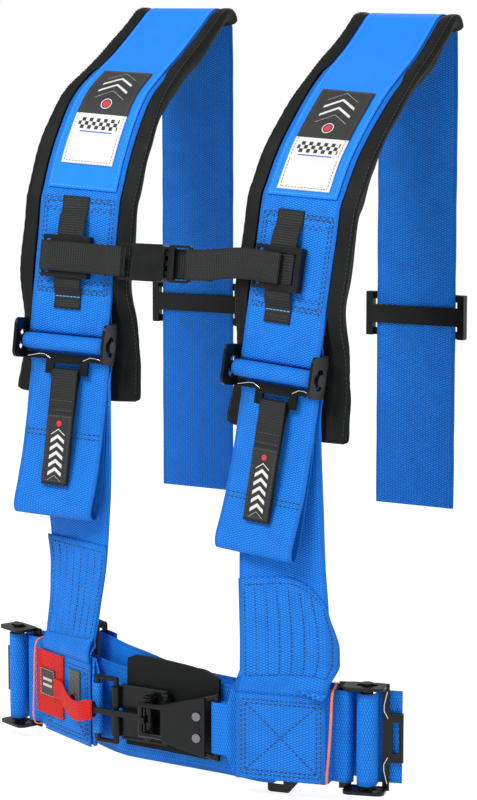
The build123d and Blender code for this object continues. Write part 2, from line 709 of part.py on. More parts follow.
def put_buckle(frame):
    location = frame.location
    body = buckle_slab(-4.0, 32.0, 4.0, SOCKET_T)
    body -= box(-17.0, 13.0, -11.0, 11.0, -2.7, 2.7)        # cavity, open at the tongue
    body -= box(-14.8, 2.8, -16.0, 16.0, -2.7, 2.7)         # side windows
    tab = buckle_slab(-27.0, 20.0, TAB_CORNER_R, TAB_T)
    tab -= box(-34.2, -20.5, -13.4, 13.4, -3, 3)            # belt slot
    tab -= box(-19.5, -10.0, -17, 17, -3, 3)                # room for the body
    put("buckle_socket", (body + tab).moved(location))

    tongue = buckle_slab(25.6, 22.8, TAB_CORNER_R, TAB_T)
    tongue -= box(20.2, 34.2, -13.4, 13.4, -3, 3)
    tongue += box(-14.0, 16.0, -2.1, 2.1, -2.0, 2.0)
    put("buckle_tongue", tongue.moved(location))

    for name, sign in (("upper", 1), ("lower", -1)):
        arm = box(-12.0, 13.2, *sorted((sign * 6.5, sign * 9.3)), -2.2, 2.2)
        head = box(-12.0, 0.0, *sorted((sign * 6.5, sign * 15.2)), -2.2, 2.2)
        put(f"buckle_prong_{name}", (arm + head).moved(location))


# --------------------------------------------------------------------- latch
# Latch positions are (x, out, z) from the lever pivot, out being towards -Y.
PIVOT_X, PIVOT_Y, PIVOT_Z = -10.0, -124.0, -252.5
PIN_R = 2.2
PIN_HOLE_R = 2.35
HUB_R = 5.0
HUB_HW = 2.5
BASE_X, BASE_OUT = -9.75, -8.5      # middle of the latch plate and its back face
BASE_T = 2.5
HINGE_X = -36.0                     # ring hinge on the latch plate
RING_HH = 27.0                      # half height of the ring
RING_X = LAP["left"]["loop"][0] - PIVOT_X
RING_OUT = PIVOT_Y - LAP["left"]["loop"][1]
KEEPER_X, KEEPER_OUT = 16.2, -2.3
LUG_ANGLE = 85.0
LUG_LENGTH = 12.0
LUG_HT = 1.5                        # half thickness
# Link: narrow straight nose over the pivot, then sloping out to the belt bar
NOSE_X, NOSE_OUT, NOSE_HH = -3.2, 8.0, 12.5
KNEE_X = 16.0
LINK_BAR_X = LAP["right"]["loop"][0] - PIVOT_X
LINK_BAR_OUT = PIVOT_Y - LAP["right"]["loop"][1]
LINK_BAR_HH = 26.0
LINK_SLOPE = (LINK_BAR_OUT - NOSE_OUT) / (LINK_BAR_X - KNEE_X)
LINK_LIFT = 2.5                     # plate above the wire centre
LINK_PLATE_X = (19.0, 57.0)
LINK_PLATE_T = 2.0
RIVET_X, RIVET_Z = 50.0, (-9.0, 9.0)


def latch_at(x, out, z):
    return (PIVOT_X + x, PIVOT_Y - out, PIVOT_Z + z)


def latch_box(x0, x1, out0, out1, z0, z1):
    return box(PIVOT_X + x0, PIVOT_X + x1, PIVOT_Y - out1, PIVOT_Y - out0,
               PIVOT_Z + z0, PIVOT_Z + z1)


def latch_rod(x, out, z0, z1, radius):
    return rod(latch_at(x, out, z0), latch_at(x, out, z1), radius)


def latch_slab(x, out, width, height, corner_r, thickness):
    """Rounded slab rising towards -Y from `out`."""
    plane = Plane(origin=latch_at(x, out, 0), x_dir=(1, 0, 0), z_dir=(0, -1, 0))
    return extrude(plane * RectangleRounded(width, height, corner_r), amount=thickness)


def put_latch_plate():
    rim_out = BASE_OUT + BASE_T
    base = latch_slab(BASE_X, BASE_OUT, 56.5, 47.0, 6.0, BASE_T)
    rim = latch_slab(BASE_X, rim_out, 56.5, 47.0, 6.0, 1.2)
    rim -= latch_slab(BASE_X, rim_out - 0.1, 52.5, 43.0, 4.5, 2.0)
    base += rim
    # notches in the left edge, around the ring and the lever
    base -= (latch_box(-42.0, -31.0, -9.0, -4.0, -25.0, -21.4)
             + latch_box(-42.0, -31.0, -9.0, -4.0, 21.4, 25.0)
             + latch_box(-42.0, -31.0, -9.0, -4.0, -2.6, 2.6))
    # ring hinge barrels
    for z0, z1 in ((-21.0, -2.9), (2.9, 21.0)):
        base += latch_rod(HINGE_X, RING_OUT, z0, z1, 4.3)
    base -= latch_rod(HINGE_X, RING_OUT, -30, 30, 2.45)
    # pivot barrels on their feet
    for z0, z1 in ((-17.0, -2.9), (2.9, 17.0)):
        base += latch_rod(0, 0, z0, z1, HUB_R)
        base += latch_box(-HUB_R, HUB_R, -6.2, 0.0, z0, z1)
    base -= latch_rod(0, 0, -30, 30, PIN_HOLE_R)
    # keeper bar posts
    for z0, z1 in ((-22.0, -19.4), (19.4, 22.0)):
        base += latch_box(13.2, 18.5, -6.2, 0.0, z0, z1)
    base -= latch_rod(KEEPER_X, KEEPER_OUT, -19.6, 19.6, 3.6)
    put("latch_plate", base)
    put("latch_keeper_bar", latch_rod(KEEPER_X, KEEPER_OUT, -19.3, 19.3, 3.4))


def put_pivot_pin():
    pin = (latch_rod(0, 0, -17.4, 17.4, PIN_R) + latch_rod(0, 0, 17.3, 18.8, 3.4)
           + latch_rod(0, 0, -18.8, -17.3, 3.4))
    put("latch_pivot_pin", pin)


def put_lever():
    """Hub, flat strip to the left ending in a slotted eye, and a lug."""
    hub = latch_rod(0, 0, -HUB_HW, HUB_HW, HUB_R)
    strip = latch_box(-60.0, -3.0, 0.75, 3.25, -2.4, 2.4)
    eye = latch_slab(-58.0, 0.75, 9.0, 14.0, 3.0, 2.5)
    cos, sin = math.cos(math.radians(LUG_ANGLE)), math.sin(math.radians(LUG_ANGLE))
    corners = [(0.0, -LUG_HT), (LUG_LENGTH, -LUG_HT), (LUG_LENGTH, LUG_HT), (0.0, LUG_HT)]
    lug = skin([[latch_at(along * cos + side * sin, along * sin - side * cos, z)
                 for along, side in corners] for z in (-HUB_HW, HUB_HW)])
    lever = hub + strip + eye + lug
    lever -= latch_rod(0, 0, -5, 5, PIN_HOLE_R)
    lever -= latch_box(-60.2, -57.4, 0, 4, -4.4, 4.4)
    put("latch_lever", lever)


def put_ring():
    """Wire ring that ties the left lap belt to the latch plate."""
    corners = ((RING_X, -RING_HH), (HINGE_X, -RING_HH), (HINGE_X, RING_HH), (RING_X, RING_HH))
    put("lap_web_ring", bent_wire([latch_at(x, RING_OUT, z) for x, z in corners], WIRE_R, True))


def link_plate_out(x):
    return NOSE_OUT + LINK_SLOPE * (x - KNEE_X) + LINK_LIFT


def put_link():
    """Closed wire frame to the right lap belt, with a riveted cover plate."""
    half = [(NOSE_X, NOSE_OUT, NOSE_HH), (KNEE_X, NOSE_OUT, NOSE_HH),
            (LINK_BAR_X, LINK_BAR_OUT, LINK_BAR_HH)]
    corners = [latch_at(x, out, -z) for x, out, z in half]
    corners += [latch_at(x, out, z) for x, out, z in reversed(half)]
    put("link_frame", bent_wire(corners, WIRE_R, True))

    sections = []
    for x in LINK_PLATE_X:
        t = (x - KNEE_X) / (LINK_BAR_X - KNEE_X)
        hh = lerp(NOSE_HH, LINK_BAR_HH, t) + 1.5
        inner = link_plate_out(x)
        outer = inner + LINK_PLATE_T
        sections.append([latch_at(x, inner, -hh), latch_at(x, inner, hh),
                         latch_at(x, outer, hh), latch_at(x, outer, -hh)])
    plate = skin(sections)
    normal = vunit((-LINK_SLOPE, -1.0, 0.0))
    for z in RIVET_Z:
        foot = latch_at(RIVET_X, link_plate_out(RIVET_X), z)

        def rivet_rod(start, end, radius):
            return rod(vadd(foot, vmul(normal, start)), vadd(foot, vmul(normal, end)), radius)

        plate = plate - rivet_rod(-3, 6, 2.15)
        put("link_rivets", rivet_rod(0.1, 2.2, 2.0) + rivet_rod(2.15, 3.3, 3.6))
    put("link_plate", plate)


# Backing pad behind the latch: (x, z) outline and its two faces
BACKING_OUTLINE = [(-39.0, -281.0), (52.0, -283.0), (52.5, -214.0), (40.0, -208.5),
                   (5.0, -205.0), (-30.0, -203.5), (-38.0, -207.0)]
BACKING_Y = (-114.6, -111.0)


def put_backing_pad():
    put("latch_backing_pad", skin([[(x, y, z) for x, z in BACKING_OUTLINE] for y in BACKING_Y]))


# ----------------------------------------------- anchor belts and anchor plates
# run: (x, y, z) from the lap adjuster behind the lap to the anchor plate,
# outward: direction of the anchor plate from its belt bar to its bolt.
ANCHORS = {
    "left": dict(
        run=[(-148.0, -55.5, -252.0), (-128.0, -67.0, -252.0), (-104.0, -82.0, -252.5),
             (-75.0, -97.0, -254.0), (-42.0, -105.5, -256.0), (5.0, -107.5, -256.0),
             (45.0, -107.6, -256.5), (70.0, -107.2, -257.5), (88.0, -106.0, -258.5)],
        outward=vunit((0.985, 0.17, 0.0))),
    "right": dict(
        run=[(138.0, -73.5, -252.0), (118.0, -76.0, -253.0), (90.0, -82.5, -254.5),
             (60.0, -91.5, -255.0), (5.0, -100.0, -249.0), (-40.0, -97.0, -240.5),
             (-72.0, -86.0, -237.0), (-86.0, -78.5, -236.5)],
        outward=vunit((-0.9, 0.436, 0.0))),
}
ANCHOR_WRAP_R = 7.6     # belt centre line round the sliding bar
ANCHOR_EYE_R = 4.0      # belt centre line round the bar of the anchor plate
ANCHOR_T = 3.0
BOLT_D = 11.2           # clearance hole for a 7/16 inch anchor bolt
BOLT_X = 31.0
# (x, y) in the plate's frame: wide at the belt slot, narrowing to a bolt tab
ANCHOR_OUTLINE = [(-2.2, -46.0), (16.0, -46.0), (44.0, -13.0),
                  (44.0, 13.0), (16.0, 46.0), (-2.2, 46.0)]


def put_anchor(side, spec, adjuster):
    profile = [(-27.0, -2.9), (-13.0, -2.9)] + arc(-9.6, -1.1, 1.8, -90.0, 0.0, 3)[1:]
    profile += bar_wrap(ANCHOR_WRAP_R, profile[-1]) + [(3.6, -9.8), (9.0, -14.0), (16.0, -16.6)]
    points = adjuster.yz(profile)
    points += spline([points[-1]] + spec["run"], 3)[1:]
    # eye round the bar of the anchor plate
    outward = spec["outward"]
    out = facing_front(outward)
    frame = Frame(Frame(points[-1], outward, out).at(7.0, 0.0, -ANCHOR_EYE_R), outward, out)
    points += frame.xz(arc(0.0, 0.0, ANCHOR_EYE_R, 90.0, -90.0, 9) + [(-14.0, -3.6)])
    put_belt(f"anchor_web_{side}", points, UP)

    outline = Plane.XY.offset(-ANCHOR_T / 2) * Polygon(*ANCHOR_OUTLINE, align=None)
    plate = extrude(outline, amount=ANCHOR_T)
    plate = fillet(plate.edges().filter_by(Axis.Z), 2.5)
    plate -= box(2.2, 11.5, -39.8, 39.8, -3, 3)
    plate -= Solid.make_cylinder(BOLT_D / 2, 6, Plane(origin=(BOLT_X, 0, -3)))
    put(f"anchor_plate_{side}", plate.moved(frame.location))


# Rubber bands round the lap belt stack: (x, y) place and depth of the back inside
BANDS = {"left": ((-163.0, -70.3), -29.0), "right": ((149.6, -100.6), -31.0)}
BAND_FRONT = 4.5        # inside face at the front
BAND_T = 1.3
BAND_HH = 38.6          # half height inside
BAND_HW = 1.6           # half width along the belt


def put_rubber_band(side):
    place_xy, back = BANDS[side]
    outward = LAP[side]["outward"]
    frame = Frame((*place_xy, LAP_Z), facing_front(outward), outward)
    outer_hh = BAND_HH + BAND_T
    band = (box(back - BAND_T, BAND_FRONT + BAND_T, -outer_hh, outer_hh, -BAND_HW, BAND_HW)
            - box(back, BAND_FRONT, -BAND_HH, BAND_HH, -3, 3))
    put(f"rubber_band_{side}", band.moved(frame.location))


# ------------------------------------------------------------- release strap
def on_lap(x, z, out):
    """Point on the front of the left lap stack, `out` from the lap centre."""
    width, normal = crossing_axes(LOWER["left"])
    cross_x, cross_y = LOWER["left"]["crossing"]
    t = (x - cross_x) / width[0]
    return (cross_x + width[0] * t + normal[0] * out,
            cross_y + width[1] * t + normal[1] * out, z)


def lap_patch(x0, x1, z0, z1, out0, out1):
    corners = ((z0, out0), (z1, out0), (z1, out1), (z0, out1))
    return skin([[on_lap(x, z, out) for z, out in corners] for x in (x0, x1)])


def put_release_strap():
    """Strap from the left lap stack to the lever's eye, with its patches."""
    put("release_strap_base", lap_patch(-160.0, -118.0, -277.0, -221.0, 3.0, 4.4))
    put("release_strap_badge", lap_patch(-152.0, -130.0, -260.0, -236.0, 4.6, 5.4))
    line = [on_lap(-128.0, -250.0, 6.6), on_lap(-116.0, -250.5, 7.2),
            (-103.0, -111.5, -254.0), (-90.0, -120.5, -257.0), (-78.0, -127.2, -255.5),
            (-70.0, -128.3, -253.0), (-65.0, -128.4, -252.6)]
    put_belt("release_strap", spline(line, 2), UP, 17.0, STRAP_T)
    put("hook_loop_patch", lap_patch(-110.0, -93.0, -261.0, -229.0, 2.9, 3.8))
    put("strap_snap", rod(on_lap(-99.0, -253.0, 4.0), on_lap(-99.0, -253.0, 6.8), 4.2))


# ----------------------------------------------------------------- pull tabs
TAB_W = 25.0
TAB_LENGTH = 96.0
TAB_TURN_R = 3.15


def put_pull_tab(side, frame):
    """Folded strap round the end bar of a shoulder adjuster's handle."""
    bar_y = SHOULDER_ADJUSTER["handle_end"] + 1.8
    profile = [(bar_y - TAB_LENGTH, 5.2), (bar_y - 12.0, 3.4)]
    profile += arc(bar_y, 0.0, TAB_TURN_R, 100.0, -100.0, 12)
    profile += [(bar_y - 12.0, -0.4), (bar_y - TAB_LENGTH, 3.3)]
    put_belt(f"pull_tab_{side}", frame.yz(profile), frame.x_axis, TAB_W, STRAP_T)


# ------------------------------------------------------------ build and write
def write_parts():
    """Centre the footprint on the origin, set it on z = 0 and export."""
    bounds = [piece.bounding_box() for pieces in PIECES.values() for piece in pieces]
    middle_x = (min(b.min.X for b in bounds) + max(b.max.X for b in bounds)) / 2
    middle_y = (min(b.min.Y for b in bounds) + max(b.max.Y for b in bounds)) / 2
    move = Location((-middle_x, -middle_y, -min(b.min.Z for b in bounds)))
    for name, pieces in PIECES.items():
        solids = [solid for piece in pieces for solid in piece.moved(move).solids()]
        shape = solids[0] if len(solids) == 1 else Compound(children=solids)
        export_step(shape, f"parts/{name}.step")


chest_sliders = {}
for side in ("left", "right"):
    path = shoulder_path(SHOULDERS[side])
    shoulder_adjuster = put_shoulder(side, SHOULDERS[side], path)
    put_lower_web(side, LOWER[side], shoulder_adjuster)
    put_pull_tab(side, shoulder_adjuster)
    lap_adjuster = put_lap_belt(side, LAP[side])
    put_anchor(side, ANCHORS[side], lap_adjuster)
    put_rubber_band(side)
    chest_sliders[side] = put_chest_slider(side, CHEST[side], path)

put_buckle(put_chest_straps(chest_sliders))
put_latch_plate()
put_pivot_pin()
put_lever()
put_ring()
put_link()
put_backing_pad()
put_release_strap()
write_parts()
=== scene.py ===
"""Front assembly of a webbing harness: two padded shoulder belts, a chest belt and a lap belt.

Sizes are design millimetres: X runs across (the "left" side is -X), -Y is the front and Z is
up. SHIFT ties the design frame to the latch pivot pin of the CAD pieces, and to_metres()
takes design points into the shared frame.
"""
import math

import bmesh
import bpy
import numpy as np
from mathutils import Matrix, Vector

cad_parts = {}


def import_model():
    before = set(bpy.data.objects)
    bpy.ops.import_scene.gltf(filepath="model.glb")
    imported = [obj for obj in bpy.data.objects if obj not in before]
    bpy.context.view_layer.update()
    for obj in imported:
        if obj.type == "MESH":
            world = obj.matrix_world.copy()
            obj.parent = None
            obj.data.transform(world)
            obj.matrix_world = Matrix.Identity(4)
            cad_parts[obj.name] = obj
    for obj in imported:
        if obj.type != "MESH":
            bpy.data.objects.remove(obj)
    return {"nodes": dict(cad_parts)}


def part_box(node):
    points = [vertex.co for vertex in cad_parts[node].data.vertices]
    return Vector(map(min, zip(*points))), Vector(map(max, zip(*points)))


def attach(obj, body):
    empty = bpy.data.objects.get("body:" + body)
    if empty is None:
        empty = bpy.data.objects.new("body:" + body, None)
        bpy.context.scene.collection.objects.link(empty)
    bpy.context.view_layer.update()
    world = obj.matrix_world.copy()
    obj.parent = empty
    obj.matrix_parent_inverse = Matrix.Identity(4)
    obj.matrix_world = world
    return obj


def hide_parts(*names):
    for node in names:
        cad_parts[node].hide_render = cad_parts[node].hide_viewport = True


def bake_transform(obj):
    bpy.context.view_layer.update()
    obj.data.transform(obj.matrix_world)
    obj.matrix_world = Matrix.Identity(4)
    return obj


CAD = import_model()["nodes"]


def centre_mm(node):
    """Centre of a CAD node's box, in millimetres of the shared frame."""
    low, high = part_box(node)
    return np.array((low + high) / 2) * 1000.0


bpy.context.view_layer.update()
scene = bpy.context.scene

SIDES = ("left", "right")
SEED_SHIFT = {"left": 0, "right": 40}
PIVOT = np.array((-10.0, -124.0, -252.5))     # latch pivot pin in design millimetres
SHIFT = centre_mm("latch_pivot_pin") - PIVOT

WEB_WIDTH, TAPE_WIDTH, COVER_WIDTH = 76.2, 25.4, 67.0
WEB_HALF = WEB_WIDTH / 2
# Offsets of a belt's two faces from its line
WEB_FACES, TAPE_FACES = (-0.8, 0.8), (-0.7, 0.7)


# ------------------------------------------------------------------ mathematics
def to_metres(point):
    return (np.asarray(point, float) + SHIFT) * 0.001


def unit(v):
    v = np.asarray(v, float)
    return v / np.maximum(np.linalg.norm(v, axis=-1, keepdims=True), 1e-12)


def smooth(x, start, end):
    t = np.clip((np.asarray(x, float) - start) / (end - start), 0, 1)
    return t * t * (3 - 2 * t)


def wobble(x, y=0.0, z=0.0, seed=0):
    """Smooth repeatable noise, about -1 to 1."""
    rng = np.random.default_rng(100 + seed)
    rates = rng.uniform(0.6, 1.7, (5, 3)) * rng.choice((-1, 1), (5, 3))
    phases = rng.uniform(0, 6.28, 5)
    total = 0
    for rate, phase in zip(rates, phases):
        total = total + np.sin(rate[0] * x + rate[1] * y + rate[2] * z + phase)
    return total / 2.6


def arc_length(points):
    return np.concatenate([[0], np.cumsum(np.linalg.norm(np.diff(points, axis=0), axis=1))])


def lookup(x, s, table):
    """Linear reading of a table of vectors at arc length x."""
    return np.array([np.interp(x, s, table[:, k]) for k in range(3)])


def pchip(s, y, q):
    """Monotone cubic through (s, y), read at q; no overshoot."""
    y = np.asarray(y, float)
    h = np.diff(s)
    secant = np.diff(y, axis=0) / h[:, None]
    slope = np.zeros_like(y)
    slope[0], slope[-1] = secant[0], secant[-1]
    w1 = (2 * h[1:] + h[:-1])[:, None]
    w2 = (h[1:] + 2 * h[:-1])[:, None]
    same = secant[:-1] * secant[1:] > 0
    before = np.where(same, secant[:-1], 1.0)
    after = np.where(same, secant[1:], 1.0)
    slope[1:-1] = np.where(same, (w1 + w2) / (w1 / before + w2 / after), 0.0)
    i = np.clip(np.searchsorted(s, q, side="right") - 1, 0, len(s) - 2)
    t = ((q - s[i]) / h[i])[:, None]
    span = h[i][:, None]
    return ((2 * t ** 3 - 3 * t ** 2 + 1) * y[i]
            + (t ** 3 - 2 * t ** 2 + t) * span * slope[i]
            + (-2 * t ** 3 + 3 * t ** 2) * y[i + 1]
            + (t ** 3 - t ** 2) * span * slope[i + 1])


# -------------------------------------------------------------------- materials
class Shader:
    """A node material around one principled shader."""

    SOCKETS = {"rough": "Roughness", "metal": "Metallic", "color": "Base Color",
               "normal": "Normal", "sheen": "Sheen Weight", "sheen_rough": "Sheen Roughness",
               "sheen_tint": "Sheen Tint", "spec": "Specular IOR Level",
               "coat": "Coat Weight", "coat_rough": "Coat Roughness",
               "sss": "Subsurface Weight"}

    def __init__(self, name):
        self.material = bpy.data.materials.new(name)
        self.material.use_nodes = True
        self.tree = self.material.node_tree
        self.tree.nodes.clear()
        output = self.node("ShaderNodeOutputMaterial")
        self.principled = self.node("ShaderNodeBsdfPrincipled")
        self.tree.links.new(self.principled.outputs[0], output.inputs[0])

    def node(self, kind, **settings):
        node = self.tree.nodes.new(kind)
        for key, value in settings.items():
            setattr(node, key, value)
        return node

    def put(self, socket, value):
        """Link a socket, or set a number or an RGB colour."""
        if isinstance(value, bpy.types.NodeSocket):
            self.tree.links.new(value, socket)
        else:
            socket.default_value = (*value, 1.0) if isinstance(value, tuple) else value

    def math(self, operation, *values, clamp=False):
        node = self.node("ShaderNodeMath", operation=operation, use_clamp=clamp)
        for socket, value in zip(node.inputs, values):
            self.put(socket, value)
        return node.outputs[0]

    def mix(self, factor, a, b, blend="MIX"):
        node = self.node("ShaderNodeMix", data_type="RGBA", blend_type=blend)
        self.put(node.inputs[0], factor)
        self.put(node.inputs[6], a)
        self.put(node.inputs[7], b)
        return node.outputs[2]

    def noise(self, vector, scale, detail=2.0, rough=0.5):
        node = self.node("ShaderNodeTexNoise")
        self.put(node.inputs["Vector"], vector)
        node.inputs["Scale"].default_value = scale
        node.inputs["Detail"].default_value = detail
        node.inputs["Roughness"].default_value = rough
        return node.outputs["Fac"]

    def uv(self):
        """The millimetre UV map: across, along and both together."""
        node = self.node("ShaderNodeUVMap", uv_map="mm")
        split = self.node("ShaderNodeSeparateXYZ")
        self.put(split.inputs[0], node.outputs[0])
        return split.outputs[0], split.outputs[1], node.outputs[0]

    def object_coords(self):
        return self.node("ShaderNodeTexCoord").outputs["Object"]

    def bump(self, height, strength, distance, normal=None):
        node = self.node("ShaderNodeBump")
        node.inputs["Strength"].default_value = strength
        node.inputs["Distance"].default_value = distance
        self.put(node.inputs["Height"], height)
        if normal is not None:
            self.put(node.inputs["Normal"], normal)
        return node.outputs[0]

    def ramp(self, value, to, over=(0.0, 1.0)):
        """Map the range `over` onto the range `to`."""
        node = self.node("ShaderNodeMapRange")
        self.put(node.inputs[0], value)
        for socket, number in zip(list(node.inputs)[1:5], (*over, *to)):
            socket.default_value = number
        return node.outputs[0]

    def rise(self, value, start, end):
        return self.ramp(value, to=(0.0, 1.0), over=(start, end))

    def fade(self, value, start, end):
        return self.ramp(value, to=(1.0, 0.0), over=(start, end))

    def band(self, value, low, high, soft=0.06):
        return self.math("MULTIPLY", self.rise(value, low - soft, low + soft),
                         self.fade(value, high - soft, high + soft))

    def finish(self, **values):
        for key, value in values.items():
            self.put(self.principled.inputs[self.SOCKETS[key]], value)
        return self.material


def weave(m, u, v, pitch_u, pitch_v, stagger=0.5, float_depth=0.55, line_depth=0.35):
    """Height of a staggered float weave; u, v and the pitches in millimetres."""
    x = m.math("DIVIDE", u, pitch_u)
    column = m.math("FLOOR", x)
    hump_u = m.math("SINE", m.math("MULTIPLY", m.math("SUBTRACT", x, column), math.pi))
    y = m.math("ADD", m.math("DIVIDE", v, pitch_v), m.math("MULTIPLY", column, stagger))
    hump_v = m.math("SINE", m.math("MULTIPLY", m.math("FRACT", y), math.pi))
    line = m.math("MULTIPLY", m.math("POWER", hump_u, 0.45), line_depth)
    floats = m.math("MULTIPLY", m.math("POWER", hump_v, 0.8), float_depth)
    return m.math("MULTIPLY", m.math("ADD", 1 - line_depth, line),
                  m.math("ADD", 1 - float_depth, floats))


def webbing(name, bright, dark, pitch_u=2.7, pitch_v=2.0, half_width=WEB_HALF, stagger=0.5,
            float_depth=1.0, line_depth=0.65, selvedge=2.4, rough=0.6, strength=1.0,
            sheen=0.03, tint=None):
    m = Shader(name)
    u, v, uv = m.uv()
    height = weave(m, u, v, pitch_u, pitch_v, stagger, float_depth, line_depth)
    # finer yarn twist on top of the floats
    twist = m.math("SINE", m.math("ADD", m.math("MULTIPLY", u, 9.0),
                                  m.math("MULTIPLY", v, 5.0)))
    # selvedge: a narrow tighter band at each edge, ribbed every 1.25 mm
    inner = half_width - selvedge
    edge = m.rise(m.math("ABSOLUTE", u), inner - 0.3, inner + 0.3)
    ribs = m.math("SINE", m.math("MULTIPLY", v, 2 * math.pi / 1.25))
    ribs = m.math("MULTIPLY_ADD", ribs, 0.3, 0.6)
    height = m.math("ADD", m.math("MULTIPLY", height, m.math("SUBTRACT", 1.0, edge)),
                    m.math("MULTIPLY", ribs, edge))
    wear = m.noise(uv, scale=0.045, detail=4.0, rough=0.6)
    fine = m.noise(uv, scale=1.6, detail=3.0, rough=0.65)
    lint = tuple(min(1.0, c * 1.25 + 0.012) for c in bright)
    # painted shade: the weave's gaps take the dark colour, the tops of the floats the bright one
    color = m.mix(m.math("POWER", height, 0.8, clamp=True), dark, bright)
    color = m.mix(m.ramp(wear, to=(0.0, 0.22), over=(0.45, 0.75)), color, dark)
    color = m.mix(m.ramp(fine, to=(0.0, 0.16), over=(0.5, 0.8)), color, lint)
    color = m.mix(m.math("MULTIPLY", edge, 0.25), color, dark)
    relief = m.math("ADD", height, m.math("MULTIPLY", twist, 0.07))
    relief = m.math("ADD", relief, m.math("MULTIPLY", fine, 0.25))
    return m.finish(color=color,
                    rough=m.ramp(fine, to=(rough - 0.07, rough + 0.1), over=(0.3, 0.7)),
                    normal=m.bump(relief, strength=strength, distance=0.00045),
                    sheen=sheen, sheen_rough=0.4, sheen_tint=tint or bright, spec=0.3)


def pad_fabric():
    m = Shader("pad_fabric_black")
    u, v, uv = m.uv()
    height = weave(m, u, v, pitch_u=0.85, pitch_v=0.85, float_depth=0.5)
    wear = m.noise(uv, scale=0.03, detail=5.0, rough=0.6)
    lint = m.noise(uv, scale=2.3, detail=3.0, rough=0.7)
    # painted shade: the weave's gaps are darker than the tops of its floats
    color = m.mix(height, (0.0012, 0.0016, 0.0016), (0.0048, 0.0056, 0.0055))
    color = m.mix(m.ramp(wear, to=(0.0, 0.45), over=(0.45, 0.8)), color,
                  (0.0075, 0.0085, 0.0085))
    color = m.mix(m.ramp(lint, to=(0.0, 0.5), over=(0.68, 0.85)), color,
                  (0.014, 0.015, 0.015))
    relief = m.math("ADD", m.math("MULTIPLY", height, 0.6), m.math("MULTIPLY", lint, 0.3))
    swell = m.bump(m.noise(uv, scale=0.09, detail=3.0, rough=0.6),
                   strength=0.5, distance=0.0012)
    return m.finish(color=color, rough=m.ramp(wear, to=(0.62, 0.8), over=(0.3, 0.7)),
                    normal=m.bump(relief, strength=0.45, distance=0.0002, normal=swell),
                    sheen=0.03, sheen_rough=0.4, sheen_tint=(0.5, 0.55, 0.55), spec=0.22)


def thread(name, dark, bright):
    m = Shader(name)
    coords = m.object_coords()
    grain = m.noise(coords, scale=900.0)
    twist = m.node("ShaderNodeTexWave", wave_type="BANDS", bands_direction="DIAGONAL")
    m.put(twist.inputs["Vector"], coords)
    twist.inputs["Scale"].default_value = 900.0
    twist.inputs["Distortion"].default_value = 1.0
    strands = twist.outputs["Fac"]
    factor = m.math("MULTIPLY_ADD", strands, 0.6, m.math("MULTIPLY", grain, 0.4))
    return m.finish(color=m.mix(factor, dark, bright), rough=m.ramp(grain, to=(0.4, 0.6)),
                    normal=m.bump(strands, strength=0.6, distance=0.0001),
                    sheen=0.2, spec=0.4)


def hard(name, base, edge_highlight, rough, grain, bump, edge, metal=0.0, coat=0.0):
    """Painted or moulded hard parts: fine grain, smudges and a painted highlight on the edges,
    in patches.
    """
    m = Shader(name)
    coords = m.object_coords()
    fine = m.noise(coords, scale=grain, detail=3.0, rough=0.55)
    smudge = m.noise(coords, scale=55.0, detail=5.0, rough=0.6)
    # painted edge highlight, in patches: where a rounded-corner normal leaves the face normal
    geometry = m.node("ShaderNodeNewGeometry")
    corner = m.node("ShaderNodeBevel", samples=3)
    corner.inputs["Radius"].default_value = 0.0009
    dot = m.node("ShaderNodeVectorMath", operation="DOT_PRODUCT")
    m.put(dot.inputs[0], corner.outputs[0])
    m.put(dot.inputs[1], geometry.outputs["Normal"])
    edge_highlight_mask = m.fade(dot.outputs["Value"], 0.80, 0.97)
    patches = m.rise(m.noise(coords, scale=260.0, detail=4.0, rough=0.7), 0.45, 0.68)
    edge_highlight_mask = m.math("MULTIPLY", edge_highlight_mask, patches, clamp=True)
    color = m.mix(m.ramp(smudge, to=(0.0, 0.35), over=(0.4, 0.8)), base,
                  tuple(c * 1.35 + 0.001 for c in base))
    # painted highlight: the colour is lightened on the edges, in patches
    color = m.mix(m.math("MULTIPLY", edge_highlight_mask, edge), color, edge_highlight)
    # fine scratches, stretched along X
    stretch = m.node("ShaderNodeMapping")
    m.put(stretch.inputs["Vector"], coords)
    stretch.inputs["Scale"].default_value = (40, 900, 900)
    scratches = m.noise(stretch.outputs[0], scale=1.0, detail=3.0)
    roughness = m.math(
        "ADD", m.ramp(smudge, to=(rough - 0.07, rough + 0.12), over=(0.3, 0.7)),
        m.math("MULTIPLY", m.rise(scratches, 0.6, 0.75), 0.12))
    return m.finish(color=color, rough=roughness, metal=metal,
                    normal=m.bump(fine, strength=bump, distance=0.00012),
                    coat=coat, coat_rough=0.25, spec=0.5 if metal else 0.26)


def rubber():
    m = Shader("rubber_orange")
    coords = m.object_coords()
    fine = m.noise(coords, scale=320.0, detail=4.0)
    broad = m.noise(coords, scale=60.0, detail=3.0)
    return m.finish(color=m.mix(broad, (0.85, 0.13, 0.035), (1.0, 0.24, 0.085)),
                    rough=m.ramp(fine, to=(0.45, 0.62)),
                    normal=m.bump(fine, strength=0.35, distance=0.0002),
                    sss=0.08, spec=0.35)


def felt():
    m = Shader("hook_loop_black")
    coords = m.object_coords()
    fuzz = m.noise(coords, scale=1500.0, detail=4.0, rough=0.7)
    loops = m.node("ShaderNodeTexVoronoi")
    m.put(loops.inputs["Vector"], coords)
    loops.inputs["Scale"].default_value = 900.0
    relief = m.math("ADD", fuzz, loops.outputs["Distance"])
    return m.finish(color=m.mix(fuzz, (0.003, 0.003, 0.0035), (0.035, 0.036, 0.038)),
                    rough=0.9, normal=m.bump(relief, strength=0.9, distance=0.0005),
                    sheen=0.4)


PATCH_BLACK = (0.006, 0.0065, 0.0065)
PATCH_WHITE = (0.74, 0.74, 0.72)
PATCH_RED = (0.66, 0.02, 0.03)


def radius_from(m, across, v, centre):
    """Distance from a point on the middle line of a patch."""
    down = m.math("ABSOLUTE", m.math("SUBTRACT", v, centre))
    return m.math("SQRT", m.math("ADD", m.math("POWER", across, 2.0),
                                 m.math("POWER", down, 2.0)))


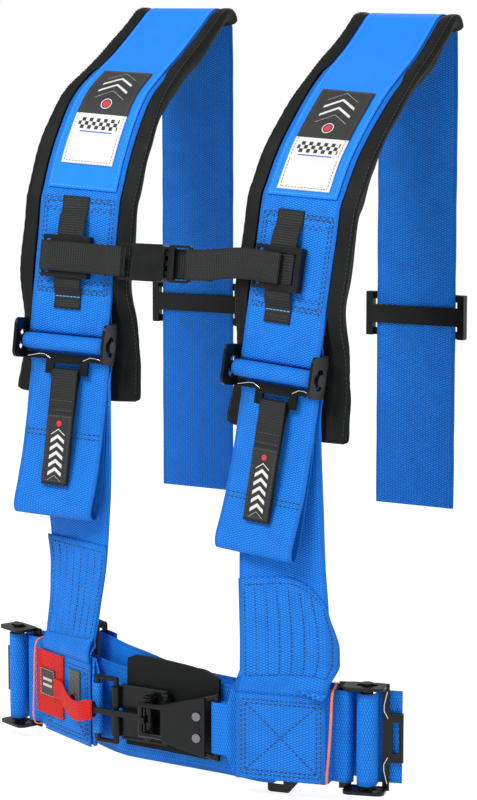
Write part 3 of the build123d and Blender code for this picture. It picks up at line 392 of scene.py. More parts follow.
def shoulder_print(m, u, v, across):
    """Chevrons, a ringed dot and a checker strip; v runs down from the top."""
    slant = m.math("SUBTRACT", v, m.math("MULTIPLY", across, 0.62))
    stripes = m.band(m.math("FRACT", m.math("DIVIDE", slant, 9.0)), 0.08, 0.36, soft=0.02)
    chevrons = m.math("MULTIPLY", stripes, m.band(slant, 3.0, 28.0))
    chevrons = m.math("MULTIPLY", chevrons, m.fade(across, 14.6, 14.8))
    radius = radius_from(m, across, v, centre=42.5)
    color = m.mix(chevrons, PATCH_BLACK, PATCH_WHITE)
    color = m.mix(m.band(radius, 4.5, 5.3), color, PATCH_WHITE)
    color = m.mix(m.fade(radius, 3.3, 3.5), color, PATCH_RED)
    check = 3.6
    column = m.math("FLOOR", m.math("DIVIDE", m.math("ADD", u, 100.0), check))
    row = m.math("FLOOR", m.math("DIVIDE", v, check))
    checker = m.math("MODULO", m.math("ADD", column, row), 2.0)
    zone = m.math("MULTIPLY", m.band(v, 57.6, 68.4), m.fade(across, 20.0, 20.1))
    strip = m.mix(m.math("MULTIPLY", checker, zone), PATCH_WHITE, PATCH_BLACK)
    line = m.math("MULTIPLY", m.band(v, 70.2, 71.4), m.fade(across, 16.0, 16.1))
    strip = m.mix(line, strip, (0.02, 0.12, 0.6))
    return m.mix(m.rise(v, 53.4, 53.6), color, strip)


def tab_print(m, u, v, across):
    """A dot above a column of chevron bars; v runs down the tab."""
    slant = m.math("SUBTRACT", v, m.math("MULTIPLY", across, 0.7))
    bars = m.band(m.math("FRACT", m.math("DIVIDE", slant, 7.0)), 0.1, 0.55, soft=0.03)
    zone = m.math("MULTIPLY", m.band(slant, 38.0, 78.0), m.fade(across, 6.6, 6.7))
    color = m.mix(m.math("MULTIPLY", bars, zone), PATCH_BLACK, PATCH_WHITE)
    radius = radius_from(m, across, v, centre=33.5)
    return m.mix(m.fade(radius, 2.4, 2.5), color, PATCH_RED)


def badge_print(m, u, v, across):
    """Two pale bars on dark red."""
    bars = m.math("MULTIPLY", m.band(m.math("ABSOLUTE", v), 1.5, 3.8),
                  m.fade(across, 7.0, 7.1))
    return m.mix(bars, (0.035, 0.002, 0.002), (0.6, 0.55, 0.5))


def label(name, pattern):
    """Generic woven patch without lettering."""
    m = Shader(name)
    u, v, uv = m.uv()
    yarn = weave(m, u, v, pitch_u=0.55, pitch_v=0.55, float_depth=0.6)
    lint = m.noise(uv, scale=1.3, detail=3.0, rough=0.6)
    color = pattern(m, u, v, m.math("ABSOLUTE", u))
    color = m.mix(m.ramp(lint, to=(0.0, 0.25), over=(0.4, 0.8)), color, (0.12, 0.12, 0.12))
    shade = m.ramp(yarn, to=(0.72, 1.05))
    grey = m.node("ShaderNodeCombineColor")
    for socket in grey.inputs:
        m.put(socket, shade)
    return m.finish(color=m.mix(1.0, color, grey.outputs[0], blend="MULTIPLY"),
                    rough=m.ramp(lint, to=(0.5, 0.68)),
                    normal=m.bump(yarn, strength=0.4, distance=0.00015),
                    sheen=0.15, spec=0.35)


# dark: the painted shade in the weave's gaps, and also the tone of the darker patches and
# selvedges
BLUE = webbing("webbing_blue", bright=(0.0, 0.262, 1.0), dark=(0.0, 0.030, 0.20))
BLUE_COVER = webbing("cover_blue", bright=(0.002, 0.275, 1.0), dark=(0.0, 0.11, 0.62),
                     pitch_u=1.3, pitch_v=1.1, half_width=COVER_WIDTH / 2, strength=0.45,
                     selvedge=1.2, sheen=0.12)
BLACK_WEB = webbing("webbing_black", bright=(0.015, 0.0168, 0.0168),
                    dark=(0.0003, 0.0004, 0.0004), pitch_u=2.4, pitch_v=2.2,
                    half_width=TAPE_WIDTH / 2, stagger=0.0, float_depth=0.9, line_depth=0.6,
                    selvedge=1.4, rough=0.5, tint=(0.5, 0.5, 0.5))
RED_WEB = webbing("webbing_red", bright=(0.90, 0.010, 0.005), dark=(0.16, 0.001, 0.0),
                  pitch_u=2.4, pitch_v=1.9, half_width=30.0, selvedge=1.0)
PAD = pad_fabric()
T_BLUE = thread("thread_blue", dark=(0.0005, 0.018, 0.06), bright=(0.001, 0.05, 0.13))
T_SKY = thread("thread_light_blue", dark=(0.03, 0.30, 0.72), bright=(0.16, 0.55, 0.92))
T_BLACK = thread("thread_black", dark=(0.004, 0.005, 0.005), bright=(0.028, 0.03, 0.03))
T_WHITE = thread("thread_white", dark=(0.45, 0.45, 0.44), bright=(0.85, 0.85, 0.83))
T_GREY = thread("thread_grey", dark=(0.03, 0.032, 0.033), bright=(0.10, 0.105, 0.108))
# the second colour of each hard part is a painted highlight on its edges
STEEL_BLACK = hard("steel_black", base=(0.0032, 0.0036, 0.004), edge_highlight=(0.05, 0.05, 0.052),
                   rough=0.30, grain=1400.0, bump=0.08, edge=0.35, coat=0.05)
PLASTIC = hard("plastic_black", base=(0.0048, 0.0056, 0.0058), edge_highlight=(0.02, 0.021, 0.022),
               rough=0.38, grain=2600.0, bump=0.18, edge=0.35)
CHROME = hard("wire_chrome", base=(0.62, 0.63, 0.65), edge_highlight=(0.9, 0.9, 0.9),
              rough=0.16, metal=1.0, grain=1200.0, bump=0.05, edge=0.3)
RIVET = hard("rivet_steel", base=(0.20, 0.205, 0.215), edge_highlight=(0.6, 0.6, 0.6),
             rough=0.34, metal=1.0, grain=700.0, bump=0.12, edge=0.8)
RUBBER = rubber()
FELT = felt()
LABEL = label("label_woven", shoulder_print)
TAB = label("label_tab", tab_print)
BADGE = label("label_badge", badge_print)


# ----------------------------------------------------------------- belt tables
def rows(text):
    """A table of x y z rows; commas only part the rows for the eye."""
    numbers = [float(c) for c in text.replace(",", " ").split()]
    return [numbers[i:i + 3] for i in range(0, len(numbers), 3)]


X_AXIS, Z_AXIS = [1.0, 0.0, 0.0], [0.0, 0.0, 1.0]

# Shoulder adjusters: origin, direction across the belt and direction up the belt
ADJUSTER = {
    "left": {"origin": np.array((-121.631, -77.484, 48.931)),
             "across": [0.9937, 0.1054, -0.0387], "along": [0.0249, 0.1299, 0.9912]},
    "right": {"origin": np.array((91.752, -84.549, 37.388)),
              "across": [0.9955, -0.0657, -0.0688], "along": [0.0769, 0.1315, 0.9883]},
}
# Lap adjusters: origin, direction along the belt towards the middle, outward direction
LAP_ADJUSTER = {
    "left": {"origin": np.array((-189.36, -52.48, -252.0)),
             "along": [0.936, -0.352, 0.0], "out": [-0.352, -0.936, 0.0]},
    "right": {"origin": np.array((174.131, -80.884, -252.0)),
              "along": [-0.9488, -0.3159, 0.0], "out": [0.3159, -0.9488, 0.0]},
}
# Chest buckle frame: origin, across the buckle, up it and out of its front
BUCKLE = {"origin": np.array([-30.5, -82.0342, 121.5]), "x": np.array([0.9995, -0.0312, 0.0]),
          "y": np.array([0.0037, 0.119, 0.9929]), "z": np.array([-0.031, -0.9924, 0.1191])}


# Middle line of each shoulder pad's belt channel, from behind, over the top, down the front
PAD_LINE = {
    "left": rows("""
-113.5 114 -101, -113.5 114 2.75, -113.5 114 106.5, -113.5 114 210.25,
-113.5 114 272.5, -114 114 314, -114 113.563 318.158, -114 112.271 322.135,
-114.207 110.18 325.756, -114.129 107.383 328.863, -114.067 104 331.321,
-114.025 100.18 333.021, -114.003 96.091 333.89, -114.003 91.909 333.89,
-114.025 87.82 333.021, -114.067 84 331.321, -114.291 72.012 322.393,
-114.521 59.781 313.234, -114.739 48.035 304.538, -114.928 37.5 297,
-115.074 28.648 291.177, -115.19 21 286.574, -115.297 13.852 282.309,
-115.418 6.5 277.5, -115.547 -1.266 272.34, -115.677 -9.062 267.156,
-115.825 -16.703 261.27, -116.007 -24 254, -116.239 -31.051 244.777,
-116.507 -37.906 234.094, -116.788 -44.309 222.863, -117.061 -50 212,
-117.32 -54.703 201.68, -117.577 -58.625 191.438, -117.833 -62.234 181.227,
-118.09 -66 171, -118.672 -69.04 147.8, -119.254 -72.08 124.6,
-119.836 -75.12 101.4, -120.418 -78.16 78.2, -121 -81.2 55, -121.547 -84.058 33.186"""),
    "right": rows("""
114.5 108 -96, 114.5 108 4.75, 114.5 108 105.5, 114.5 108 206.25,
114.5 108 266.7, 114 108 307, 114 107.541 311.261, 114 106.185 315.326,
113.378 103.994 319.008, 113.622 101.068 322.14, 113.811 97.543 324.576,
113.938 93.58 326.206, 113.996 89.36 326.954, 113.983 85.078 326.785,
113.899 80.931 325.709, 113.749 77.107 323.773, 113.214 69.406 316.91,
112.671 61.672 309.932, 112.146 54.004 303.182, 111.664 46.5 297,
111.249 39.206 291.66, 110.88 32.062 286.92, 110.523 25.012 282.345,
110.146 18 277.5, 109.772 11.28 272.699, 109.409 4.794 268.031,
108.996 -1.99 262.723, 108.472 -9.6 256, 107.793 -18.723 247.277,
107 -28.894 237.094, 106.165 -38.918 226.363, 105.358 -47.6 216,
104.594 -54.387 206.18, 103.835 -59.994 196.438, 103.079 -65.129 186.727,
102.322 -70.5 177, 100.157 -74.2 149.2, 97.993 -77.9 121.4,
95.829 -81.6 93.6, 93.664 -85.3 65.8, 91.5 -89 38, 89.802 -91.902 16.192"""),
}

# Direction across the shoulder belts: the turn over the shoulder, then the front run
TURN_ACROSS = {
    "left": [X_AXIS] * 9 + rows("""
1 0 -0.0007, 1 0 -0.0025, 1 0 -0.0054, 1 0 -0.009, 0.9999 0 -0.0132,
0.9998 0 -0.0179, 0.9997 0 -0.0227, 0.9996 0 -0.0275, 0.9995 0 -0.0321,
0.9993 0 -0.0364, 0.9992 0 -0.04, 0.9991 0 -0.0429, 0.999 0.0021 -0.0447,
0.9989 0.0078 -0.0454, 0.9988 0.0164 -0.0454, 0.9986 0.0271 -0.0454,
0.9982 0.0394 -0.0454, 0.9976 0.0523 -0.0454, 0.9968 0.0653 -0.0454,
0.996 0.0775 -0.0454, 0.9951 0.0882 -0.0454, 0.9943 0.0968 -0.0454,
0.9937 0.1025 -0.0454"""),
    "right": [X_AXIS] * 9 + rows("""
1 0 -0.0015, 1 0 -0.0055, 0.9999 0 -0.0117, 0.9998 0 -0.0197, 0.9996 0 -0.029,
0.9992 0 -0.0391, 0.9988 0 -0.0497, 0.9982 0 -0.0603, 0.9975 0 -0.0704,
0.9968 0 -0.0797, 0.9962 0 -0.0876, 0.9956 0 -0.0938, 0.9952 -0.0014 -0.0979,
0.995 -0.0052 -0.0993, 0.995 -0.0109 -0.0993, 0.9949 -0.0181 -0.0993,
0.9947 -0.0263 -0.0993, 0.9944 -0.0349 -0.0993, 0.9941 -0.0435 -0.0993,
0.9937 -0.0517 -0.0993, 0.9933 -0.0589 -0.0993, 0.993 -0.0646 -0.0993,
0.9927 -0.0684 -0.0993"""),
}
FRONT_ACROSS = {"left": [0.9935, 0.1045, -0.0454], "right": [0.9926, -0.0698, -0.0993]}

# Upper belts: as the pad line, then round the adjuster bar and back up
UPPER_LINE = {
    "left": rows("""
-113.5 111.7 -101, -113.5 111.7 2.75, -113.5 111.7 106.5, -113.5 111.7 210.25,
-113.5 111.7 272.5, -114 111.7 313.879, -114 111.301 317.677,
-114 110.158 321.194, -114.207 108.309 324.396, -114.13 105.835 327.144,
-114.072 102.844 329.318, -114.036 99.466 330.822, -114.023 95.849 331.591,
-114.033 92.151 331.591, -114.064 88.534 330.822, -114.113 85.169 329.324,
-114.342 73.388 320.551, -114.58 61.155 311.39, -114.807 49.389 302.68,
-115.004 38.802 295.105, -115.158 29.874 289.232, -115.281 22.182 284.603,
-115.395 15.071 280.361, -115.525 7.766 275.583, -115.668 0.007 270.428,
-115.815 -7.723 265.29, -115.983 -15.185 259.543, -116.189 -22.27 252.487,
-116.445 -29.171 243.464, -116.734 -35.945 232.912, -117.034 -42.299 221.771,
-117.319 -47.944 211, -117.582 -52.592 200.802, -117.838 -56.478 190.654,
-118.095 -60.083 180.457, -118.35 -63.766 170.456, -118.924 -66.772 147.509,
-119.506 -69.812 124.309, -120.088 -72.852 101.109, -120.67 -75.892 77.909,
-120.843 -76.796 71.016, -121.136 -78.328 59.32, -121.196 -78.181 58.192,
-121.304 -77.491 57.292, -121.432 -76.445 56.861, -121.545 -75.322 57.014,
-121.613 -74.424 57.71, -121.618 -73.99 58.763, -121.334 -72.51 70.063,
-120.867 -74.118 77.682, -120.285 -71.078 100.882, -119.703 -68.038 124.082,
-119.121 -64.998 147.282"""),
    "right": rows("""
114.5 105.7 -96, 114.5 105.7 4.75, 114.5 105.7 105.5, 114.5 105.7 206.25,
114.5 105.7 266.7, 114 105.7 306.876, 114 105.281 310.768,
114 104.081 314.363, 113.378 102.144 317.619, 113.619 99.557 320.389,
113.8 96.439 322.544, 113.912 92.934 323.985, 113.951 89.203 324.646,
113.917 85.417 324.498, 113.815 81.75 323.547, 113.654 78.416 321.861,
113.111 70.944 315.203, 112.55 63.205 308.222, 112.006 55.498 301.438,
111.505 47.914 295.192, 111.072 40.524 289.783, 110.693 33.326 285.008,
110.34 26.295 280.444, 109.974 19.325 275.628, 109.611 12.623 270.839,
109.263 6.177 266.199, 108.871 -0.516 260.96, 108.372 -8.041 254.311,
107.713 -17.112 245.637, 106.939 -27.237 235.499, 106.125 -37.194 224.841,
105.345 -45.768 214.605, 104.607 -52.441 204.949, 103.865 -57.981 195.324,
103.112 -63.107 185.631, 102.404 -68.281 176.262, 100.286 -71.925 148.887,
98.122 -75.625 121.087, 95.957 -79.325 93.287, 93.793 -83.025 65.487,
93.321 -83.831 59.43, 92.413 -85.383 47.768, 92.345 -85.236 46.641,
92.328 -84.546 45.735, 92.367 -83.497 45.295, 92.451 -82.37 45.436,
92.558 -81.467 46.123, 92.659 -81.031 47.17, 93.537 -79.532 58.437,
93.894 -81.245 65.242, 96.058 -77.545 93.042, 98.222 -73.845 120.842,
100.387 -70.145 148.642"""),
}

# Lower belts: the hanging hand loop, round the adjuster, then down to the lap belt
LOWER_LINE = {
    "left": rows("""
-123.502 -76.199 4.42, -123.554 -76.548 2.15, -123.605 -76.898 -0.119,
-123.69 -77.337 -3.497, -123.816 -77.971 -8.455, -123.976 -78.696 -14.522,
-124.182 -79.28 -21.39, -124.456 -79.58 -29.228, -124.776 -79.739 -37.868,
-125.088 -79.964 -46.499, -125.394 -80.223 -55.051, -125.693 -80.548 -63.595,
-125.929 -81.239 -71.532, -126.091 -82.432 -78.938, -126.191 -83.992 -85.738,
-126.207 -85.809 -91.104, -126.116 -87.958 -94.617, -125.942 -90.366 -96.697,
-125.737 -92.698 -97.779, -125.496 -95.015 -97.893, -125.223 -97.257 -97.008,
-124.988 -98.912 -95.471, -124.809 -99.881 -93.517, -124.667 -100.264 -90.911,
-124.57 -99.845 -87.288, -124.545 -98.297 -82.447, -124.566 -95.948 -76.589,
-124.56 -93.563 -69.952, -124.509 -91.388 -62.728, -124.432 -89.177 -54.724,
-124.311 -86.964 -45.601, -124.126 -84.76 -34.872, -123.898 -82.554 -23.023,
-123.67 -80.348 -11.174, -122.982 -76.285 17.533, -122.709 -74.856 28.437,
-122.281 -76.051 36.149, -122.095 -75.87 41.417, -121.982 -76.591 42.358,
-121.848 -77.685 42.809, -120.956 -85.701 43.887, -120.785 -87.17 44.28,
-120.615 -88.493 45.032, -120.458 -89.585 46.094, -120.323 -90.375 47.398,
-120.22 -90.813 48.861, -120.154 -90.871 50.389, -120.13 -90.546 51.885,
-120.15 -89.858 53.252, -120.212 -88.851 54.403, -120.312 -87.59 55.265,
-120.444 -86.155 55.782, -120.599 -84.639 55.921, -120.768 -83.137 55.673,
-120.94 -81.748 55.055, -122.175 -72.227 49.265, -122.456 -70.266 47.401,
-122.672 -69.525 43.879, -123.189 -69.112 31.731, -122.416 -70.237 25.979,
-121.642 -71.362 20.227, -121 -72 12, -120.634 -71.751 -0.054,
-120.4 -71.014 -14.583, -120 -70.5 -30, -119.278 -70.426 -46.259,
-118.389 -70.574 -63.407, -117.5 -71 -80, -116.593 -71.704 -95.37,
-115.685 -72.685 -110.185, -115 -74 -125, -114.678 -75.648 -140.259,
-114.578 -77.63 -155.519, -114.5 -80 -170, -114.385 -82.907 -183.185,
-114.293 -86.204 -195.593, -114.2 -89.5 -208, -114.732 -92.944 -213,
-114.732 -92.944 -291"""),
    "right": rows("""
88.763 -83.314 -7.064, 88.584 -83.66 -9.327, 88.405 -84.006 -11.591,
88.142 -84.465 -14.957, 87.759 -85.079 -19.904, 87.294 -85.806 -25.955,
86.768 -86.635 -32.774, 86.172 -87.575 -40.509, 85.515 -88.617 -49.014,
84.855 -89.726 -57.509, 84.198 -90.875 -65.924, 83.537 -92.091 -74.33,
82.909 -93.41 -82.162, 82.305 -94.883 -89.508, 81.733 -96.46 -96.28,
81.259 -98.019 -101.657, 80.911 -99.539 -105.231, 80.662 -101.041 -107.41,
80.486 -102.467 -108.593, 80.377 -103.895 -108.807, 80.342 -105.245 -108.025,
80.378 -106.226 -106.567, 80.469 -106.838 -104.656, 80.632 -107.079 -102.07,
80.909 -106.658 -98.456, 81.333 -105.308 -93.61, 81.872 -103.295 -87.736,
82.473 -101.125 -81.102, 83.116 -98.904 -73.915, 83.822 -96.525 -65.967,
84.604 -94.177 -56.897, 85.49 -91.93 -46.21, 86.452 -89.713 -34.401,
87.414 -87.496 -22.591, 89.663 -83.384 6.029, 90.509 -81.937 16.901,
90.963 -83.127 24.612, 91.339 -82.939 29.87, 91.356 -83.661 30.817,
91.316 -84.758 31.278, 90.865 -92.8 32.434, 90.796 -94.274 32.841,
90.761 -95.6 33.604, 90.762 -96.694 34.675, 90.801 -97.485 35.985,
90.873 -97.923 37.45, 90.975 -97.98 38.976, 91.099 -97.652 40.466,
91.239 -96.96 41.824, 91.384 -95.948 42.964, 91.526 -94.681 43.812,
91.656 -93.241 44.314, 91.765 -91.719 44.437, 91.846 -90.213 44.175,
91.895 -88.82 43.544, 92.119 -79.274 37.669, 92.119 -77.308 35.789,
91.925 -76.569 32.265, 91.113 -76.169 20.133, 91.219 -77.514 14.158,
91.326 -78.859 8.183, 91.5 -80 0, 91.695 -80.691 -11.677,
91.959 -81.179 -25.56, 92.5 -82 -40, 93.481 -83.444 -54.815,
94.741 -85.222 -70.185, 96 -87 -85, 97 -88.519 -98.444,
98 -90.037 -111.333, 99.5 -92 -125, 101.963 -94.778 -140.556,
104.926 -98 -156.889, 107.5 -101 -172, 109.259 -103.481 -184.815,
110.63 -105.741 -196.407, 112 -108 -208, 110.435 -112.367 -213,
110.435 -112.367 -291"""),
}
# Direction across the lower belts below their adjusters
LOWER_ACROSS = {
    "left": rows("""
0.9972 0.0704 -0.0259, 0.9993 0.0352 -0.0129, 1 0 0, 0.9998 -0.0175 0,
0.9994 -0.0349 0, 0.9986 -0.0523 0, 0.9962 -0.0872 0, 0.9925 -0.1219 0,
0.9877 -0.1564 0, 0.9805 -0.1965 0, 0.9717 -0.2363 0, 0.9613 -0.2756 0,
0.9528 -0.3035 0, 0.9436 -0.3311 0, 0.9336 -0.3584 0, 0.9272 -0.3746 0,
0.9205 -0.3907 0""") + [[0.9135, -0.4067, 0.0]] * 3,
    "right": rows("""
0.9967 -0.0671 -0.0459, 0.9974 -0.0684 -0.0229, 0.9976 -0.0698 0,
0.9989 -0.0465 0, 0.9997 -0.0233 0, 1 0 0, 0.9997 0.0233 0, 0.9989 0.0465 0,
0.9976 0.0698 0, 0.9957 0.0929 0, 0.9932 0.1161 0, 0.9903 0.1392 0,
0.9868 0.1622 0, 0.9827 0.1851 0, 0.9781 0.2079 0, 0.9757 0.2193 0,
0.973 0.2306 0""") + [[0.9703, 0.2419, 0.0]] * 3,
}

# Lap belts: round the outer adjuster, inwards, and back round the latch ring or link
LAP_LINE = {
    "left": rows("""
-155.685 -62.366 -252, -163.194 -56.765 -252, -171.86 -53.704 -252,
-173.787 -53.98 -252, -175.543 -54.823 -252, -176.964 -56.154 -252,
-177.918 -57.851 -252, -178.319 -59.757 -252, -178.127 -61.695 -252,
-177.362 -63.485 -252, -176.094 -64.963 -252, -164.349 -65.518 -252,
-151 -74.86 -252, -117 -90 -252, -76.5 -108.03 -252, -70.395 -118.431 -252,
-66.78 -121.886 -252, -65.282 -122.706 -252, -63.574 -122.667 -252,
-62.114 -121.78 -252, -61.294 -120.282 -252, -61.333 -118.574 -252,
-62.22 -117.114 -252, -65.834 -113.66 -252, -75.768 -106.386 -252,
-116.268 -88.356 -252"""),
    "right": rows("""
140.102 -89.475 -252, 147.819 -84.165 -252, 156.596 -81.438 -252,
158.512 -81.787 -252, 160.234 -82.696 -252, 161.603 -84.081 -252,
162.492 -85.814 -252, 162.819 -87.733 -252, 162.553 -89.662 -252,
161.72 -91.422 -252, 160.396 -92.85 -252, 148.639 -92.956 -252,
144 -102.15 -252, 112.5 -110 -252, 70 -120.3 -252, 66.302 -124.04 -252,
55.372 -125.279 -252, 53.682 -125.026 -252, 52.346 -123.961 -252,
51.721 -122.372 -252, 51.974 -120.682 -252, 53.039 -119.346 -252,
54.628 -118.721 -252, 65.558 -117.482 -252, 69.576 -118.551 -252,
112.065 -108.253 -252"""),
}
# The inner loop is folded narrow
LAP_WIDTHS = [WEB_WIDTH] * 15 + [43.0] * 9 + [WEB_WIDTH] * 2

# Upright straps that carry the chest belt
RAIL_LINE = {
    "left": rows("""
-121.04 -65.687 173.622, -121.338 -67.246 161.727, -121.151 -71.408 155.206,
-122.593 -78.942 97.715, -123.129 -76.597 90.359, -123.427 -78.156 78.465"""),
    "right": rows("""
94.704 -70.883 168.88, 93.78 -72.461 157.02, 93.057 -76.646 150.551,
88.902 -83.749 97.181, 88.548 -81.406 89.814, 87.625 -82.984 77.954"""),
}

# Chest belt halves; the last BUCKLE_ROWS points loop round the buckle's bar
BUCKLE_ROWS = 13
CHEST_LINE = {
    "left": rows("""
-107.545 -78.853 122.547, -137.157 -81.994 123.702, -140.005 -81.697 123.735,
-141.328 -79.743 123.512, -141.613 -77.179 123.183, -146.128 -76.112 123.156,
-147.212 -76.655 123.255, -148.024 -77.551 123.392, -148.452 -78.679 123.551,
-148.438 -79.886 123.709, -147.984 -81.007 123.844, -147.151 -81.89 123.939,
-146.054 -82.414 123.98, -144.841 -82.509 123.962, -139.135 -84.099 124.027,
-99.388 -79.883 122.478, -74.568 -83.539 121.845, -66.782 -84.08 121.881,
-65.082 -83.941 121.858, -64.103 -83.42 121.792, -63.362 -82.597 121.691,
-62.95 -81.573 121.566, -62.916 -80.47 121.434, -63.263 -79.422 121.309,
-63.951 -78.554 121.208, -64.896 -77.973 121.142, -65.983 -77.747 121.119,
-74.389 -77.783 121.155, -80.438 -79.283 121.357"""),
    "right": rows("""
57.735 -82.545 124.743, 62.696 -83.171 124.44, 66.074 -82.997 124.154,
65.118 -82.365 124.144, 64.434 -81.449 124.076, 64.104 -80.358 123.956,
64.168 -79.224 123.8, 64.618 -78.185 123.627, 65.401 -77.365 123.457,
66.421 -76.863 123.311, 67.555 -76.74 123.206, 70.63 -77.142 123.02,
71.238 -78.77 123.189, 71.103 -81.144 123.516, 72.081 -83.294 123.726,
74.835 -84.071 123.615, 90.563 -85.11 122.528, 91.548 -85.373 122.487,
91.904 -86.141 122.561, 91.464 -86.857 122.691, 90.457 -86.989 122.787,
56.611 -84.755 125.125, 13.389 -86.286 121.845, 5.583 -86.34 121.881,
3.896 -86.095 121.858, 2.951 -85.514 121.792, 2.263 -84.647 121.691,
1.916 -83.598 121.566, 1.95 -82.496 121.434, 2.362 -81.471 121.309,
3.103 -80.648 121.208, 4.082 -80.127 121.142, 5.182 -79.97 121.119,
13.568 -80.53 121.155, 19.513 -82.404 121.357"""),
}

# Anchor belts: from the outer side, round the lap adjuster and across the lap
ANCHOR_LINE = {
    "left": rows("""
-213.611 -40.262 -252, -200.507 -45.19 -252, -196.567 -46.929 -252,
-196.183 -47.778 -252, -196.274 -48.705 -252, -199.173 -56.989 -252,
-199.579 -58.939 -252, -199.465 -60.927 -252, -198.838 -62.817 -252,
-197.741 -64.48 -252, -196.25 -65.8 -252, -194.468 -66.688 -252,
-192.515 -67.083 -252, -190.528 -66.956 -252, -188.641 -66.318 -252,
-186.986 -65.211 -252, -185.674 -63.712 -252, -184.797 -61.924 -252,
-184.415 -59.97 -252, -184.553 -57.983 -252, -186.594 -47.965 -252,
-182.541 -44.574 -252, -176.008 -42.544 -252, -168.541 -42.574 -252,
-161.674 -46.936 -252, -154.807 -51.297 -252, -148 -55.5 -252,
-141.441 -59.309 -251.981, -134.943 -62.96 -251.963, -128 -67 -252,
-120.481 -71.741 -252.093, -112.519 -76.87 -252.241, -104 -82 -252.5,
-94.852 -87.241 -252.907, -85.148 -92.481 -253.426, -75 -97 -254,
-64.815 -100.556 -254.704, -54.185 -103.389 -255.463, -42 -105.5 -256,
-27.111 -106.719 -256.13, -10.667 -107.215 -256.037, 5 -107.5 -256,
19.407 -107.693 -256.111, 33.037 -107.674 -256.278, 45 -107.6 -256.5,
54.704 -107.533 -256.796, 62.741 -107.411 -257.148, 70 -107.2 -257.5,
76.519 -106.859 -257.833, 82.259 -106.43 -258.167, 88 -106 -258.5,
94.898 -104.809 -258.5, 96.205 -104.339 -258.5, 97.273 -103.45 -258.5,
97.972 -102.249 -258.5, 98.218 -100.882 -258.5, 97.981 -99.513 -258.5,
97.291 -98.308 -258.5, 96.23 -97.411 -258.5, 94.927 -96.931 -258.5,
93.537 -96.926 -258.5, 79.809 -99.701 -258.5"""),
    "right": rows("""
198.831 -69.603 -252, 185.549 -74.026 -252, 181.545 -75.613 -252,
181.128 -76.446 -252, 181.184 -77.376 -252, 183.764 -85.766 -252,
184.095 -87.729 -252, 183.905 -89.712 -252, 183.206 -91.577 -252,
182.046 -93.196 -252, 180.506 -94.458 -252, 178.691 -95.277 -252,
176.725 -95.597 -252, 174.744 -95.394 -252, 172.883 -94.684 -252,
171.271 -93.515 -252, 170.018 -91.967 -252, 169.21 -90.147 -252,
168.902 -88.179 -252, 169.116 -86.199 -252, 171.539 -76.266 -252,
167.619 -72.723 -252, 161.169 -70.445 -252, 153.706 -70.189 -252,
148.629 -71.323 -251.963, 143.553 -72.456 -251.926, 138 -73.5 -252,
131.948 -74.245 -252.241, 125.418 -74.9 -252.593, 118 -76 -253,
109.333 -77.778 -253.5, 99.778 -80 -254.056, 90 -82.5 -254.5,
81.074 -85.333 -254.981, 71.926 -88.444 -255.352, 60 -91.5 -255,
43.148 -94.796 -253.574, 23.519 -98.037 -251.426, 5 -100 -249,
-11.222 -100.148 -246.167, -26.333 -99.019 -243.056, -40 -97 -240.5,
-52.296 -93.796 -238.852, -63.148 -89.704 -237.759, -72 -86 -237,
-78 -83.241 -236.611, -82 -80.87 -236.556, -86 -78.5 -236.5,
-92.3 -75.448 -236.5, -93.426 -74.635 -236.5, -94.206 -73.485 -236.5,
-94.545 -72.138 -236.5, -94.404 -70.756 -236.5, -93.798 -69.506 -236.5,
-92.801 -68.538 -236.5, -91.534 -67.97 -236.5, -90.148 -67.869 -236.5,
-88.812 -68.248 -236.5, -76.387 -74.712 -236.5"""),
}

# Red tape from its sewn base to the latch lever
RELEASE_LINE = rows("""
-130.684 -91.096 -250, -125.067 -93.503 -250.062, -118.929 -96.987 -250.5,
-111.042 -104.049 -252.094, -103 -111.5 -254, -96.254 -116.488 -255.812,
-90 -120.5 -257, -83.688 -124.344 -256.594, -78 -127.2 -255.5,
-73.562 -128.163 -254.181, -70 -128.3 -253, -67.312 -128.413 -252.669,
-65 -128.4 -252.6""")

# Pull tabs: up the front strand, over the fold and down behind
PULL_LINE = {
    "left": rows("""
-124.075 -98.353 -70.547, -122.184 -85.668 12.488, -121.931 -83.887 23.802,
-121.906 -83.794 24.71, -121.91 -83.447 25.555, -121.943 -82.873 26.264,
-122.002 -82.122 26.78, -122.083 -81.256 27.058, -122.179 -80.348 27.075,
-122.281 -79.475 26.829, -122.382 -78.709 26.342, -122.471 -78.115 25.654,
-122.543 -77.743 24.823, -122.591 -77.625 23.919, -122.611 -77.77 23.018,
-122.6 -81.921 12.007, -124.284 -96.479 -70.787"""),
    "right": rows("""
82.135 -105.635 -81.689, 88.699 -92.805 1.085, 89.597 -91.004 12.364,
89.666 -90.91 13.269, 89.747 -90.561 14.109, 89.833 -89.984 14.812,
89.918 -89.23 15.319, 89.994 -88.36 15.588, 90.055 -87.449 15.596,
90.095 -86.573 15.342, 90.112 -85.805 14.848, 90.103 -85.211 14.155,
90.07 -84.839 13.322, 90.016 -84.721 12.418, 89.944 -84.867 11.52,
88.912 -89.047 0.568, 82.241 -103.756 -81.948"""),
}

